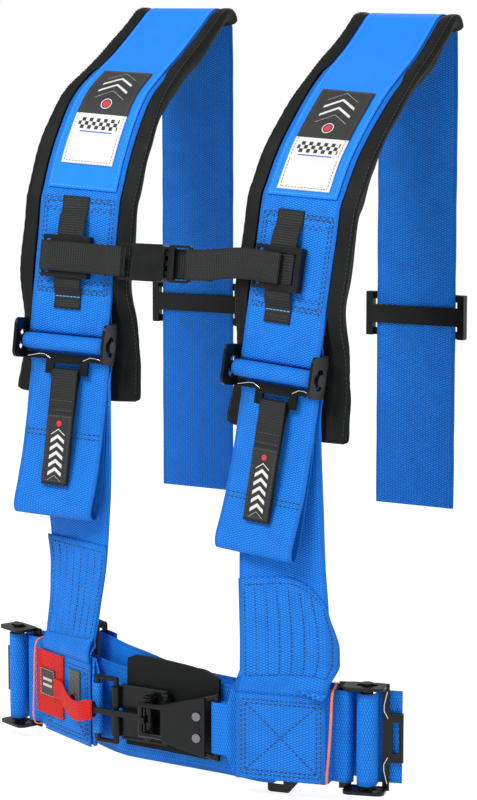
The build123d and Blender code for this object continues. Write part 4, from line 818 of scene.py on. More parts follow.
# Pad sections from the top of the shoulder down to the foot. Sixteen outline points each:
# 0-1 the back face, 2-5 the +X rim, 6 and 11 the lips and 7-10 the inside of the channel
# that the belt lies in, 12-15 the -X rim.
PAD_SECTIONS = {
    "left": rows("""
-155 101.564 315.608, -73 101.564 315.608, -68 106.481 316.653, -68 113.268 318.096,
-70.5 115.727 318.618, -78.2 115.727 318.618, -79.7 112.776 317.991, -74.6 112.678 317.97,
-74.6 108.449 317.071, -153.4 108.449 317.071, -153.4 112.678 317.97, -148.3 112.776 317.991,
-149.8 115.727 318.618, -157.5 115.727 318.618, -160 113.268 318.096, -160 106.481 316.653,
-155.75 101.007 317.12, -72.25 101.007 317.12, -67.25 105.6 319.165, -67.25 111.995 322.012,
-69.75 114.292 323.034, -78.2 114.292 323.034, -79.7 111.536 321.808, -74.6 111.444 321.767,
-74.6 107.494 320.008, -153.4 107.494 320.008, -153.4 111.444 321.767, -148.3 111.536 321.808,
-149.8 114.292 323.034, -158.25 114.292 323.034, -160.75 111.995 322.012, -160.75 105.6 319.165,
-156.707 100.154 318.471, -71.707 100.154 318.471, -66.707 104.222 321.426,
-66.707 109.936 325.578, -69.207 111.97 327.056, -78.407 111.97 327.056, -79.907 109.53 325.283,
-74.807 109.448 325.224, -74.807 105.95 322.682, -153.607 105.95 322.682,
-153.607 109.448 325.224, -148.507 109.53 325.283, -150.007 111.97 327.056,
-159.207 111.97 327.056, -161.707 109.936 325.578, -161.707 104.222 321.426,
-157.385 99.048 319.635, -70.885 99.048 319.578, -65.883 102.412 323.311,
-65.879 107.181 328.607, -68.378 108.863 330.477, -78.328 108.863 330.483,
-79.829 106.844 328.242, -74.729 106.777 328.164, -74.731 103.884 324.951,
-153.531 103.884 325.003, -153.529 106.777 328.216, -148.429 106.844 328.288,
-149.928 108.863 330.53, -159.878 108.863 330.537, -162.379 107.181 328.671,
-162.383 102.412 323.375,
-158.094 97.74 320.59, -70.095 97.74 320.369, -65.084 100.254 324.71, -65.068 103.849 330.936,
-67.563 105.106 333.119, -78.263 105.106 333.146, -79.769 103.598 330.538,
-74.669 103.548 330.438, -74.679 101.386 326.693, -153.478 101.386 326.891,
-153.469 103.548 330.636, -148.369 103.598 330.71, -149.862 105.106 333.326,
-160.562 105.106 333.353, -163.068 103.849 331.182, -163.083 100.254 324.956,
-158.338 96.292 321.293, -69.839 96.292 320.819, -64.814 97.846 325.573, -64.777 100.087 332.47,
-67.264 100.864 334.874, -78.214 100.864 334.933, -79.729 99.932 332.072, -74.63 99.901 331.949,
-74.652 98.564 327.837, -153.451 98.564 328.26, -153.429 99.901 332.372,
-148.328 99.932 332.44, -149.813 100.864 335.317, -160.763 100.864 335.375,
-163.275 100.087 332.998, -163.312 97.846 326.101,
-158.614 94.769 321.716, -69.618 94.769 320.916, -64.573 95.294 325.87, -64.507 96.059 333.145,
-66.985 96.322 335.668, -78.184 96.322 335.768, -79.711 96.006 332.782, -74.612 95.996 332.636,
-74.651 95.544 328.336, -153.448 95.544 329.045, -153.409 95.996 333.345,
-148.309 96.006 333.399, -149.782 96.322 336.412, -160.981 96.322 336.513,
-163.503 96.059 334.036, -163.569 95.294 326.761,
-158.916 93.238 321.846, -69.424 93.238 320.662, -64.358 92.712 325.595, -64.261 91.941 332.932,
-66.728 91.678 335.465, -78.177 91.678 335.617, -79.716 91.994 332.637, -74.618 92.004 332.469,
-74.675 92.456 328.17, -153.468 92.456 329.212, -153.411 92.004 333.512,
-148.31 91.994 333.544, -149.771 91.678 336.564, -161.22 91.678 336.715,
-163.752 91.941 334.249, -163.849 92.712 326.912,
-159.234 91.767 321.682, -69.249 91.767 320.075, -64.164 90.213 324.766, -64.038 87.913 331.841,
-66.495 87.136 334.276, -78.193 87.136 334.485, -79.744 88.068 331.644, -74.646 88.099 331.457,
-74.72 89.436 327.346, -153.507 89.436 328.753, -153.434 88.099 332.864,
-148.333 88.068 332.869, -149.781 87.136 335.764, -161.479 87.136 335.973,
-164.022 87.913 333.627, -164.148 90.213 326.552,
-159.326 90.964 320.449, -69.349 90.964 318.407, -64.251 88.422 322.634, -64.086 84.152 329.926,
-66.536 82.882 332.153, -78.233 82.882 332.418, -79.792 84.407 329.848, -74.695 84.457 329.645,
-74.78 86.643 325.913, -153.56 86.643 327.7, -153.475 84.457 331.433, -148.374 84.407 331.404,
-149.815 82.882 334.043, -161.512 82.882 334.308, -164.06 84.152 332.194,
-164.226 88.422 324.903,
-159.598 80.809 311.859, -69.632 80.809 309.382, -64.524 77.817 313.249, -64.317 72.191 320.777,
-66.761 70.695 322.848, -78.456 70.695 323.17, -80.022 72.49 320.809, -74.926 72.55 320.588,
-75.021 75.124 317.145, -153.791 75.124 319.313, -153.696 72.55 322.756, -148.596 72.49 322.696,
-150.029 70.695 325.14, -161.725 70.695 325.462, -164.279 72.191 323.529,
-164.486 77.817 316.001,
-159.902 69.159 302.096, -69.949 69.159 299.203, -64.823 66.173 303.05, -64.555 59.96 311.386,
-66.989 58.467 313.471, -78.683 58.467 313.847, -80.259 60.259 311.49, -75.165 60.319 311.246,
-75.275 62.887 307.799, -154.035 62.887 310.332, -153.924 60.319 313.779,
-148.824 60.259 313.695, -150.246 58.467 316.148, -161.94 58.467 316.524,
-164.503 59.96 314.601, -164.771 66.173 306.264,
-160.201 57.865 292.682, -70.26 57.865 289.409, -65.116 54.922 293.266, -64.781 48.212 302.477,
-67.206 46.74 304.588, -78.898 46.74 305.013, -80.485 48.506 302.644, -75.392 48.565 302.378,
-75.518 51.096 298.904, -154.266 51.096 301.77, -154.14 48.565 305.244, -149.04 48.506 305.139,
-150.451 46.74 307.618, -162.143 46.74 308.043, -164.715 48.212 306.114, -165.05 54.922 296.904,
-160.476 47.519 284.217, -70.548 47.519 280.616, -65.387 44.689 284.535, -64.978 37.67 294.752,
-67.394 36.255 296.912, -79.084 36.255 297.38, -80.682 37.953 294.969, -75.59 38.009 294.682,
-75.731 40.443 291.139, -154.468 40.443 294.292, -154.326 38.009 297.835,
-149.227 37.953 297.713, -150.627 36.255 300.245, -162.318 36.255 300.713,
-164.898 37.67 298.753, -165.307 44.689 288.536,
-160.675 38.081 278.137, -70.758 38.081 274.281, -65.581 35.416 278.294, -65.131 28.808 288.78,
-67.538 27.476 291.002, -79.228 27.476 291.503, -80.835 29.075 289.03, -75.743 29.128 288.727,
-75.899 31.42 285.091, -154.627 31.42 288.468, -154.471 29.128 292.104, -149.372 29.075 291.97,
-150.762 27.476 294.571, -162.451 27.476 295.073, -165.039 28.808 293.066,
-165.489 35.416 282.58,
-161.342 30.005 273.441, -70.433 30.192 269.373, -65.241 27.632 273.434, -64.755 21.298 283.993,
-67.154 20.008 286.247, -79.342 19.983 286.792, -80.956 21.482 284.355, -75.865 21.544 284.041,
-76.034 23.754 280.357, -154.755 23.592 283.879, -154.586 21.381 287.564,
-149.487 21.341 287.422, -150.87 19.835 289.993, -163.058 19.81 290.538,
-165.654 21.09 288.508, -166.14 27.424 277.949,
-162.002 22.878 269.402, -70.099 23.591 265.228, -64.892 20.98 269.237, -64.376 14.555 279.503,
-66.767 13.211 281.734, -79.453 13.112 282.31, -81.067 14.542 280.075, -75.977 14.634 279.759,
-76.16 16.914 276.117, -154.877 16.303 279.691, -154.693 14.023 283.334, -149.595 14.01 283.187,
-150.977 12.557 285.558, -163.664 12.458 286.134, -166.268 13.764 284.13,
-166.784 20.188 273.864,
-162.693 15.481 264.854, -69.801 17.002 260.636, -64.573 14.332 264.577, -64.018 7.821 274.439,
-66.398 6.404 276.636, -76.936 6.232 277.115, -78.49 6.868 276.183, -76.099 7.568 275.071,
-76.307 10.007 271.378, -155.015 8.717 274.953, -154.808 6.279 278.646, -152.304 5.659 279.535,
-153.746 4.974 280.603, -164.284 4.801 281.082, -166.898 6.136 279.111, -167.453 12.647 269.249,
-163.416 7.253 259.759, -69.547 9.805 255.495, -64.29 7.174 259.424, -63.683 0.81 268.983,
-66.048 -0.641 271.175, -74.436 -0.869 271.556, -75.997 -0.246 270.627, -76.26 0.413 269.638,
-76.477 2.682 266.23, -155.167 0.542 269.805, -154.95 -1.726 273.213, -155.086 -2.396 274.219,
-156.521 -3.101 275.285, -164.909 -3.329 275.666, -167.538 -2.013 273.701,
-168.145 4.351 264.142,
-164.317 -0.632 254.955, -69.156 3.122 250.631, -63.866 0.407 254.461, -63.197 -6.097 263.525,
-65.543 -7.652 265.667, -74.593 -8.009 266.079, -76.162 -7.369 265.173, -76.434 -6.678 264.208,
-76.659 -4.483 261.149, -155.317 -7.586 264.724, -155.092 -9.781 267.783,
-155.219 -10.488 268.766, -156.645 -11.246 269.807, -165.695 -11.603 270.219,
-168.34 -10.245 268.303, -169.009 -3.741 259.24,
-165.259 -7.551 250.173, -68.825 -2.492 245.788, -63.493 -5.53 249.315, -62.745 -12.712 257.485,
-65.067 -14.492 259.475, -74.777 -15.002 259.917, -76.356 -14.288 259.084,
-76.638 -13.507 258.192, -76.877 -11.209 255.578, -155.488 -15.333 259.153,
-155.248 -17.631 261.766, -155.365 -18.433 262.676, -156.779 -19.304 263.645,
-166.489 -19.813 264.087, -169.155 -18.294 262.323, -169.903 -11.112 254.154,
-166.254 -13.886 244.582, -68.564 -7.489 240.136, -63.184 -10.923 243.198,
-62.338 -18.953 250.22, -64.632 -20.997 251.978, -74.999 -21.676 252.45, -76.59 -20.871 251.728,
-76.884 -19.982 250.948, -77.144 -17.517 248.793, -155.694 -22.661 252.367,
-155.435 -25.126 254.523, -155.539 -26.042 255.321, -156.939 -27.042 256.178,
-167.306 -27.721 256.65, -169.996 -26.004 255.119, -170.842 -17.973 248.097,
-167.29 -20.436 236.926, -68.358 -12.738 232.42, -62.93 -16.436 235.048,
-61.981 -25.098 241.099, -64.247 -27.335 242.639, -75.269 -28.193 243.141,
-76.87 -27.328 242.524, -77.177 -26.363 241.848, -77.464 -23.748 240.022,
-155.945 -29.855 243.596, -155.659 -32.47 245.423, -155.75 -33.466 246.117,
-157.137 -34.563 246.87, -168.159 -35.42 247.372, -170.873 -33.571 246.058,
-171.822 -24.909 240.007,
-168.344 -27.256 227.285, -68.174 -18.373 222.719, -62.704 -22.195 225.06,
-61.654 -31.233 230.505, -63.894 -33.585 231.903, -75.57 -34.621 232.435,
-77.181 -33.73 231.886, -77.499 -32.724 231.279, -77.816 -29.996 229.635,
-156.227 -36.949 233.21, -155.91 -39.678 234.854, -155.99 -40.718 235.479,
-157.364 -41.874 236.164, -169.04 -42.909 236.696, -171.775 -40.998 235.525,
-172.825 -31.96 230.08,
-169.385 -33.782 216.769, -67.97 -23.908 212.142, -62.465 -27.792 214.29,
-61.333 -37.053 219.325, -63.552 -39.479 220.626, -75.881 -40.679 221.189,
-77.501 -39.776 220.687, -77.828 -38.747 220.126, -78.169 -35.951 218.606,
-156.518 -43.58 222.18, -156.176 -46.376 223.701, -156.247 -47.443 224.28,
-157.61 -48.637 224.918, -169.939 -49.837 225.48, -172.692 -47.895 224.406,
-173.823 -38.634 219.371,
-169.723 -39.402 206.62, -68.365 -28.95 201.993, -62.837 -32.907 203.939,
-61.649 -42.384 208.547, -63.853 -44.875 209.747, -76.175 -46.146 210.309,
-77.8 -45.227 209.856, -78.133 -44.174 209.343, -78.492 -41.314 207.952,
-156.795 -49.389 211.527, -156.437 -52.25 212.918, -156.501 -53.343 213.449,
-157.857 -54.569 214.038, -170.179 -55.84 214.601, -172.943 -53.861 213.627,
-174.131 -44.385 209.02,
-170.005 -43.789 197.24, -68.67 -33.127 192.613, -63.132 -37.193 194.294,
-61.924 -46.922 198.338, -64.123 -49.478 199.405, -76.442 -50.774 199.968,
-78.069 -49.83 199.578, -78.404 -48.749 199.129, -78.769 -45.812 197.908,
-157.056 -54.049 201.483, -156.691 -56.986 202.704, -156.753 -58.108 203.171,
-158.107 -59.366 203.697, -170.426 -60.662 204.259, -173.195 -58.629 203.419,
-174.403 -48.901 199.374,
-170.258 -47.436 187.72, -68.923 -36.774 183.093, -63.386 -40.918 184.57,
-62.18 -50.811 188.182, -64.38 -53.406 189.147, -76.699 -54.702 189.709,
-78.326 -53.739 189.369, -78.661 -52.64 188.969, -79.025 -49.653 187.878,
-157.312 -57.89 191.453, -156.948 -60.877 192.543, -157.01 -62.018 192.961,
-158.364 -63.294 193.438, -170.683 -64.591 194.001, -173.451 -62.519 193.262,
-174.657 -52.625 189.65,
-170.513 -51.008 177.616, -69.178 -40.346 172.989, -63.642 -44.5 174.436,
-62.437 -54.416 177.983, -64.636 -57.016 178.934, -76.955 -58.312 179.496,
-78.582 -57.347 179.162, -78.917 -56.245 178.77, -79.281 -53.252 177.699,
-157.568 -61.488 181.273, -157.204 -64.482 182.344, -157.266 -65.625 182.755,
-158.62 -66.905 183.225, -170.939 -68.201 183.787, -173.707 -66.123 183.064,
-174.912 -56.208 179.516,
-170.758 -54.137 169.128, -69.422 -43.475 164.501, -63.889 -47.81 165.456,
-62.692 -58.107 167.963, -64.893 -60.796 168.668, -77.212 -62.092 169.23,
-78.838 -61.084 169.014, -79.172 -59.939 168.74, -79.534 -56.83 167.983,
-157.821 -65.067 171.558, -157.459 -68.176 172.314, -157.522 -69.362 172.607,
-158.877 -70.685 172.959, -171.196 -71.981 173.521, -173.962 -69.814 173.044,
-175.16 -59.517 170.537,
-171.278 -56.92 147.875, -69.942 -46.258 143.249, -64.427 -50.665 143.654,
-63.266 -61.116 144.994, -65.476 -63.842 145.424, -77.796 -65.138 145.986,
-79.417 -64.112 145.902, -79.747 -62.95 145.76, -80.098 -59.795 145.355,
-158.384 -68.032 148.93, -158.034 -71.187 149.334, -158.101 -72.391 149.495,
-159.46 -73.73 149.715, -171.779 -75.027 150.277, -174.537 -72.823 150.075,
-175.698 -62.372 148.734,
-171.86 -59.96 124.675, -70.524 -49.298 120.049, -65.009 -53.705 120.454,
-63.848 -64.156 121.794, -66.058 -66.882 122.224, -78.378 -68.178 122.786,
-79.999 -67.152 122.702, -80.329 -65.99 122.56, -80.68 -62.835 122.155,
-158.967 -71.072 125.73, -158.616 -74.227 126.134, -158.683 -75.431 126.295,
-160.042 -76.77 126.515, -172.362 -78.067 127.077, -175.119 -75.863 126.875,
-176.28 -65.412 125.534,
-172.442 -63 101.475, -71.106 -52.338 96.849, -65.591 -56.745 97.254, -64.431 -67.196 98.594,
-66.64 -69.922 99.024, -78.96 -71.218 99.586, -80.581 -70.192 99.502, -80.911 -69.03 99.36,
-81.262 -65.875 98.955, -159.549 -74.112 102.53, -159.198 -77.267 102.934,
-159.266 -78.471 103.095, -160.624 -79.81 103.315, -172.944 -81.107 103.877,
-175.701 -78.903 103.675, -176.862 -68.452 102.334,
-176.64 -55.004 58.949, -71.946 -43.9 54.867, -66.43 -48.302 55.305, -66.047 -51.753 55.748,
-69.142 -55.573 56.326, -77.745 -56.685 56.687, -79.721 -56.994 56.778, -81.698 -57.303 56.868,
-83.773 -57.623 56.962, -162.075 -65.929 60.015, -164.173 -66.051 60.083,
-166.171 -66.164 60.148, -168.169 -66.276 60.213, -176.816 -66.993 60.524,
-180.677 -63.912 60.217, -181.061 -60.461 59.774,
-178.811 -53.746 40.749, -71.494 -42.363 36.565, -65.979 -46.765 37.004, -65.595 -50.216 37.446,
-68.69 -54.036 38.024, -78.605 -55.287 38.437, -80.581 -55.596 38.527, -82.558 -55.906 38.617,
-84.633 -56.225 38.711, -162.935 -64.531 41.764, -165.033 -64.653 41.833,
-167.031 -64.766 41.898, -169.029 -64.878 41.962, -178.988 -65.735 42.325,
-182.849 -62.653 42.018, -183.232 -59.202 41.575,
-180.809 -56.55 20.611, -70.511 -44.851 16.311, -64.995 -49.254 16.749, -64.611 -52.704 17.192,
-67.706 -56.524 17.77, -79.111 -57.933 18.241, -81.088 -58.242 18.331, -83.064 -58.552 18.421,
-85.14 -58.872 18.515, -163.442 -67.177 21.568, -165.539 -67.3 21.637, -167.538 -67.412 21.702,
-169.536 -67.524 21.766, -180.985 -68.539 22.187, -184.846 -65.457 21.88,
-185.229 -62.007 21.437,
-182.326 -58.682 5.306, -69.763 -46.742 0.918, -64.247 -51.145 1.356, -63.864 -54.595 1.799,
-66.958 -58.415 2.377, -79.497 -59.944 2.892, -81.473 -60.254 2.982, -83.449 -60.563 3.072,
-85.525 -60.883 3.166, -163.827 -69.188 6.219, -165.924 -69.311 6.288, -167.923 -69.423 6.353,
-169.921 -69.536 6.417, -182.503 -70.671 6.882, -186.364 -67.589 6.575, -186.747 -64.138 6.132,
-176.406 -62.666 0.747, -75.051 -51.915 -3.205, -69.809 -53.853 -3.083, -69.59 -55.825 -2.83,
-72.684 -59.645 -2.252, -79.618 -60.579 -1.955, -81.595 -60.889 -1.865, -83.571 -61.198 -1.775,
-85.647 -61.518 -1.681, -163.948 -69.823 1.372, -166.046 -69.946 1.441, -168.044 -70.058 1.506,
-170.043 -70.171 1.57, -177.02 -70.711 1.816, -180.881 -67.629 1.509, -181.1 -65.658 1.256"""),
    "right": rows("""
73 95.552 308.647, 155 95.552 308.647, 160 100.465 309.718, 160 107.246 311.196,
157.5 109.703 311.732, 149.8 109.703 311.732, 148.3 106.755 311.089, 153.4 106.656 311.068,
153.4 102.431 310.146, 74.6 102.431 310.146, 74.6 106.656 311.068, 79.7 106.755 311.089,
78.2 109.703 311.732, 70.5 109.703 311.732, 68 107.246 311.196, 68 100.465 309.718,
72.25 94.971 310.191, 155.75 94.971 310.191, 160.75 99.543 312.285, 160.75 105.91 315.2,
158.25 108.197 316.247, 149.8 108.197 316.247, 148.3 105.453 314.991, 153.4 105.362 314.949,
153.4 101.429 313.148, 74.6 101.429 313.148, 74.6 105.362 314.949, 79.7 105.453 314.991,
78.2 108.197 316.247, 69.75 108.197 316.247, 67.25 105.91 315.2, 67.25 99.543 312.285,
70.878 94.081 311.565, 155.878 94.081 311.565, 160.878 98.102 314.585, 160.878 103.752 318.827,
158.378 105.763 320.337, 149.178 105.763 320.337, 147.678 103.35 318.525, 152.778 103.27 318.465,
152.778 99.811 315.868, 73.978 99.811 315.868, 73.978 103.27 318.465, 79.078 103.35 318.525,
77.578 105.763 320.337, 68.378 105.763 320.337, 65.878 103.752 318.827, 65.878 98.102 314.585,
70.358 92.927 312.772, 156.858 92.927 312.646, 161.863 96.213 316.446, 161.871 100.871 321.842,
159.374 102.514 323.749, 149.424 102.514 323.763, 147.921 100.543 321.481,
153.021 100.477 321.398, 153.016 97.651 318.124, 74.216 97.651 318.238, 74.221 100.477 321.512,
79.321 100.543 321.581, 77.824 102.514 323.867, 67.874 102.514 323.881, 65.371 100.871 321.981,
65.364 96.213 316.585,
69.751 91.566 313.815, 157.75 91.566 313.33, 162.774 93.967 317.722, 162.809 97.399 324.041,
160.321 98.599 326.264, 149.621 98.599 326.323, 148.107 97.159 323.68, 153.206 97.111 323.564,
153.185 95.047 319.763, 74.387 95.047 320.198, 74.408 97.111 323.998, 79.508 97.159 324.058,
78.023 98.599 326.718, 67.323 98.599 326.777, 64.811 97.399 324.581, 64.776 93.967 318.262,
69.549 90.066 314.642, 158.043 90.066 313.602, 163.1 91.47 318.372, 163.181 93.496 325.338,
160.71 94.198 327.781, 149.761 94.198 327.91, 148.227 93.355 325.03, 153.325 93.327 324.874,
153.276 92.12 320.721, 74.482 92.12 321.647, 74.531 93.327 325.8, 79.631 93.355 325.836,
78.166 94.198 328.751, 67.216 94.198 328.88, 64.688 93.496 326.495, 64.606 91.47 319.529,
69.256 88.499 315.215, 158.239 88.499 313.46, 163.337 88.841 318.378, 163.481 89.34 325.676,
161.031 89.511 328.234, 149.833 89.511 328.455, 148.274 89.306 325.475, 153.371 89.299 325.274,
153.286 89.004 320.96, 74.501 89.004 322.514, 74.586 89.299 326.828, 79.687 89.306 326.828,
78.247 89.511 329.867, 67.049 89.511 330.088, 64.5 89.34 327.629, 64.356 88.841 320.33,
68.887 86.938 315.514, 158.35 86.938 312.919, 163.492 86.203 317.747, 163.704 85.122 325.044,
161.277 84.755 327.603, 149.832 84.755 327.935, 148.246 85.196 324.995, 153.341 85.211 324.748,
153.217 85.844 320.471, 74.45 85.844 322.756, 74.574 85.211 327.033, 79.675 85.196 326.984,
78.262 84.755 330.012, 66.817 84.755 330.344, 64.246 85.122 327.93, 64.034 86.203 320.632,
68.466 85.455 315.534, 158.397 85.455 312.011, 163.578 83.673 316.514, 163.85 81.037 323.47,
161.444 80.147 325.917, 149.753 80.147 326.375, 148.144 81.215 323.614, 153.236 81.251 323.321,
153.078 82.783 319.279, 74.338 82.783 322.364, 74.497 81.251 326.405, 79.596 81.215 326.3,
78.208 80.147 329.178, 66.517 80.147 329.636, 63.927 81.037 327.384, 63.654 83.673 320.429,
68.237 84.903 314.618, 158.126 84.903 310.143, 163.327 82.058 314.052, 163.675 77.278 321.038,
161.281 75.855 323.241, 149.596 75.855 323.823, 147.973 77.562 321.403, 153.063 77.619 321.066,
152.885 80.066 317.49, 74.182 80.066 321.408, 74.36 77.619 324.984, 79.458 77.562 324.814,
78.084 75.855 327.383, 66.399 75.855 327.965, 63.798 77.278 326.01, 63.45 82.058 319.025,
67.637 79.236 308.712, 157.474 79.236 303.286, 162.689 75.892 306.696, 163.11 69.607 313.672,
160.727 67.935 315.679, 149.048 67.935 316.384, 147.416 69.941 314.248, 152.502 70.008 313.866,
152.31 72.883 310.675, 73.653 72.883 315.426, 73.846 70.008 318.617, 78.941 69.941 318.384,
77.578 67.935 320.701, 65.899 67.935 321.406, 63.292 69.607 319.702, 62.871 75.892 312.725,
66.959 72.135 301.424, 156.735 72.135 295.086, 161.985 68.803 298.453, 162.531 61.872 306.188,
160.169 60.206 308.223, 148.498 60.206 309.047, 146.844 62.205 306.922, 151.926 62.272 306.488,
151.7 65.137 303.29, 73.096 65.137 308.839, 73.322 62.272 312.037, 78.414 62.205 311.753,
77.076 60.206 314.089, 65.405 60.206 314.913, 62.78 61.872 313.23, 62.234 68.803 305.495,
66.277 64.852 294.108, 155.991 64.852 286.937, 161.278 61.604 290.329, 161.969 54.199 298.971,
159.628 52.575 301.065, 147.965 52.575 301.997, 146.288 54.523 299.843, 151.366 54.588 299.36,
151.105 57.382 296.101, 72.556 57.382 302.379, 72.816 54.588 305.639, 77.906 54.523 305.308,
76.593 52.575 307.702, 64.93 52.575 308.634, 62.286 54.199 306.938, 61.596 61.604 298.297,
65.614 57.384 287.029, 155.267 57.384 279.143, 160.594 54.309 282.635, 161.451 46.684 292.383,
159.134 45.147 294.567, 147.479 45.147 295.592, 145.777 46.992 293.366, 150.851 47.053 292.84,
150.553 49.698 289.46, 72.056 49.698 296.365, 72.354 47.053 299.745, 77.441 46.992 299.377,
76.154 45.147 301.866, 64.499 45.147 302.892, 61.836 46.684 301.145, 60.979 54.309 291.398,
65.086 49.351 281.438, 154.689 49.351 272.992, 160.051 46.485 276.604, 161.005 39.378 286.724,
158.708 37.945 288.999, 147.06 37.945 290.097, 145.336 39.664 287.789, 150.406 39.722 287.229,
150.075 42.186 283.72, 71.623 42.186 291.114, 71.953 39.722 294.623, 77.038 39.664 294.226,
75.776 37.945 296.815, 64.127 37.945 297.913, 61.446 39.378 296.107, 60.492 46.485 285.987,
64.164 41.855 276.658, 154.727 41.73 267.751, 160.108 38.974 271.419, 161.107 32.2 281.664,
158.821 30.829 283.987, 146.68 30.846 285.181, 144.95 32.455 282.898, 150.017 32.503 282.316,
149.669 34.867 278.741, 71.248 34.975 286.453, 71.596 32.611 290.028, 76.68 32.549 289.612,
75.423 30.944 292.189, 63.282 30.961 293.383, 60.592 32.339 291.549, 59.593 39.113 281.304,
63.343 35.12 272.287, 154.887 34.645 263.149, 160.26 31.831 266.785, 161.224 25.073 276.8,
158.936 23.692 279.114, 146.299 23.757 280.375, 144.59 25.281 278.277, 149.656 25.31 277.688,
149.314 27.708 274.135, 70.905 28.116 281.961, 71.247 25.718 285.515, 76.33 25.636 285.091,
75.054 24.127 287.486, 62.417 24.193 288.748, 59.73 25.6 286.93, 58.766 32.358 276.915,
62.552 28.703 267.71, 155.087 27.689 258.474, 160.437 24.754 262.047, 161.323 17.939 271.677,
159.023 16.526 273.961, 148.526 16.641 275.008, 146.944 17.349 274.181, 149.291 18.014 272.96,
148.959 20.566 269.354, 70.554 21.425 277.18, 70.886 18.873 280.787, 73.413 18.155 281.52,
72.011 17.48 282.646, 61.514 17.595 283.694, 58.839 19.063 281.907, 57.952 25.878 272.277,
61.771 22.466 263.051, 155.291 20.764 253.715, 160.616 17.754 257.263, 161.423 11.04 266.564,
159.111 9.626 268.834, 150.754 9.778 269.669, 149.177 10.505 268.847, 148.894 11.21 267.896,
148.606 13.603 264.58, 70.209 15.03 272.407, 70.497 12.636 275.723, 70.382 11.939 276.713,
68.974 11.265 277.833, 60.616 11.417 278.667, 57.954 12.922 276.893, 57.148 19.637 267.592,
60.868 16.694 258.667, 155.697 14.19 249.199, 160.989 11.051 252.685, 161.7 4.332 261.581,
159.372 2.893 263.821, 150.353 3.131 264.721, 148.785 3.893 263.915, 148.509 4.62 262.979,
148.27 6.887 259.976, 69.886 8.957 267.803, 70.126 6.689 270.805, 70.004 5.972 271.781,
68.588 5.29 272.886, 59.569 5.528 273.786, 56.924 7.097 272.043, 56.213 13.817 263.146,
59.974 11.04 253.959, 156.104 7.667 244.358, 161.346 4.288 247.693, 161.934 -2.686 256.032,
159.583 -4.2 258.196, 149.904 -3.861 259.163, 148.348 -3.039 258.392, 148.084 -2.263 257.492,
147.896 -0.032 254.825, 69.534 2.718 262.651, 69.722 0.487 265.319, 69.588 -0.275 266.258,
68.161 -0.992 267.327, 58.482 -0.652 268.293, 55.86 1.037 266.626, 55.272 8.01 258.287,
58.989 4.532 247.872, 156.411 0.265 238.139, 161.599 -3.342 241.313, 162.066 -10.58 249.152,
159.689 -12.166 251.236, 149.351 -11.713 252.268, 147.807 -10.834 251.536,
147.556 -10.012 250.675, 147.413 -7.79 248.269, 69.078 -4.36 256.096, 69.221 -6.581 258.502,
69.074 -7.386 259.402, 67.636 -8.134 260.432, 57.297 -7.681 261.465, 54.702 -5.878 259.878,
54.236 1.36 252.04,
57.822 -3.759 239.589, 156.531 -8.894 229.723, 161.674 -12.654 232.792, 162.043 -20.078 240.351,
159.646 -21.699 242.381, 148.649 -21.127 243.481, 147.116 -20.209 242.774,
146.876 -19.359 241.938, 146.764 -17.117 239.656, 68.46 -13.044 247.483, 68.571 -15.285 249.764,
68.414 -16.115 250.64, 66.966 -16.878 251.645, 55.968 -16.306 252.744, 53.397 -14.426 251.209,
53.028 -7.003 243.651,
56.532 -13.184 229.817, 156.525 -19.111 219.819, 161.625 -23.006 222.79, 161.908 -30.639 230.142,
159.491 -32.292 232.124, 147.836 -31.601 233.289, 146.314 -30.649 232.606,
146.084 -29.773 231.794, 145.998 -27.469 229.574, 67.725 -22.83 237.401, 67.811 -25.134 239.62,
67.644 -25.986 240.472, 66.186 -26.762 241.453, 54.531 -26.072 242.618, 51.981 -24.124 241.133,
51.698 -16.491 233.781,
55.215 -22.353 219.71, 156.497 -28.942 209.58, 161.549 -33.013 212.394, 161.734 -40.961 219.411,
159.295 -42.674 221.315, 146.982 -41.873 222.546, 145.472 -40.876 221.901,
145.253 -39.964 221.126, 145.197 -37.564 219.008, 66.952 -32.474 226.834, 67.008 -34.873 228.952,
66.83 -35.76 229.767, 65.361 -36.563 230.71, 53.049 -35.762 231.942, 50.523 -33.726 230.535,
50.338 -25.779 223.517,
54.628 -30.014 210.332, 155.883 -36.989 200.202, 160.876 -41.314 202.737,
160.937 -49.757 209.165, 158.47 -51.577 210.929, 146.161 -50.729 212.161,
144.665 -49.671 211.582, 144.459 -48.701 210.874, 144.44 -46.153 208.934, 66.215 -40.764 216.76,
66.234 -43.313 218.7, 66.042 -44.255 219.448, 64.56 -45.108 220.324, 52.251 -44.26 221.556,
49.755 -42.098 220.288, 49.693 -33.655 213.861,
54.075 -35.857 201.777, 155.321 -42.972 191.647, 160.255 -47.55 193.825, 160.192 -56.517 199.495,
157.696 -58.457 201.08, 145.387 -57.592 202.312, 143.906 -56.472 201.819,
143.714 -55.443 201.197, 143.733 -52.736 199.485, 65.516 -47.24 207.311, 65.497 -49.947 209.023,
65.291 -50.948 209.685, 63.795 -51.858 210.476, 51.487 -50.993 211.707, 49.02 -48.704 210.618,
49.083 -39.738 204.948,
53.443 -40.946 192.935, 154.689 -48.061 182.805, 159.587 -52.786 184.728,
159.449 -62.062 189.859, 156.934 -64.076 191.318, 144.626 -63.211 192.549,
143.153 -62.056 192.117, 142.97 -60.992 191.556, 143.012 -58.191 190.007, 64.794 -52.695 197.834,
64.752 -55.495 199.383, 64.538 -56.531 199.983, 63.034 -57.477 200.713, 50.725 -56.612 201.945,
48.277 -54.25 200.983, 48.415 -44.973 195.852,
52.706 -46.009 183.362, 153.952 -53.124 173.231, 158.845 -57.869 175.116,
158.695 -67.189 180.165, 156.178 -69.212 181.604, 143.87 -68.348 182.835,
142.398 -67.188 182.413, 142.216 -66.119 181.861, 142.261 -63.305 180.337,
64.044 -57.809 188.163, 63.999 -60.622 189.687, 63.783 -61.663 190.279, 62.277 -62.614 190.999,
49.969 -61.749 192.231, 47.523 -59.376 191.288, 47.672 -50.056 186.24,
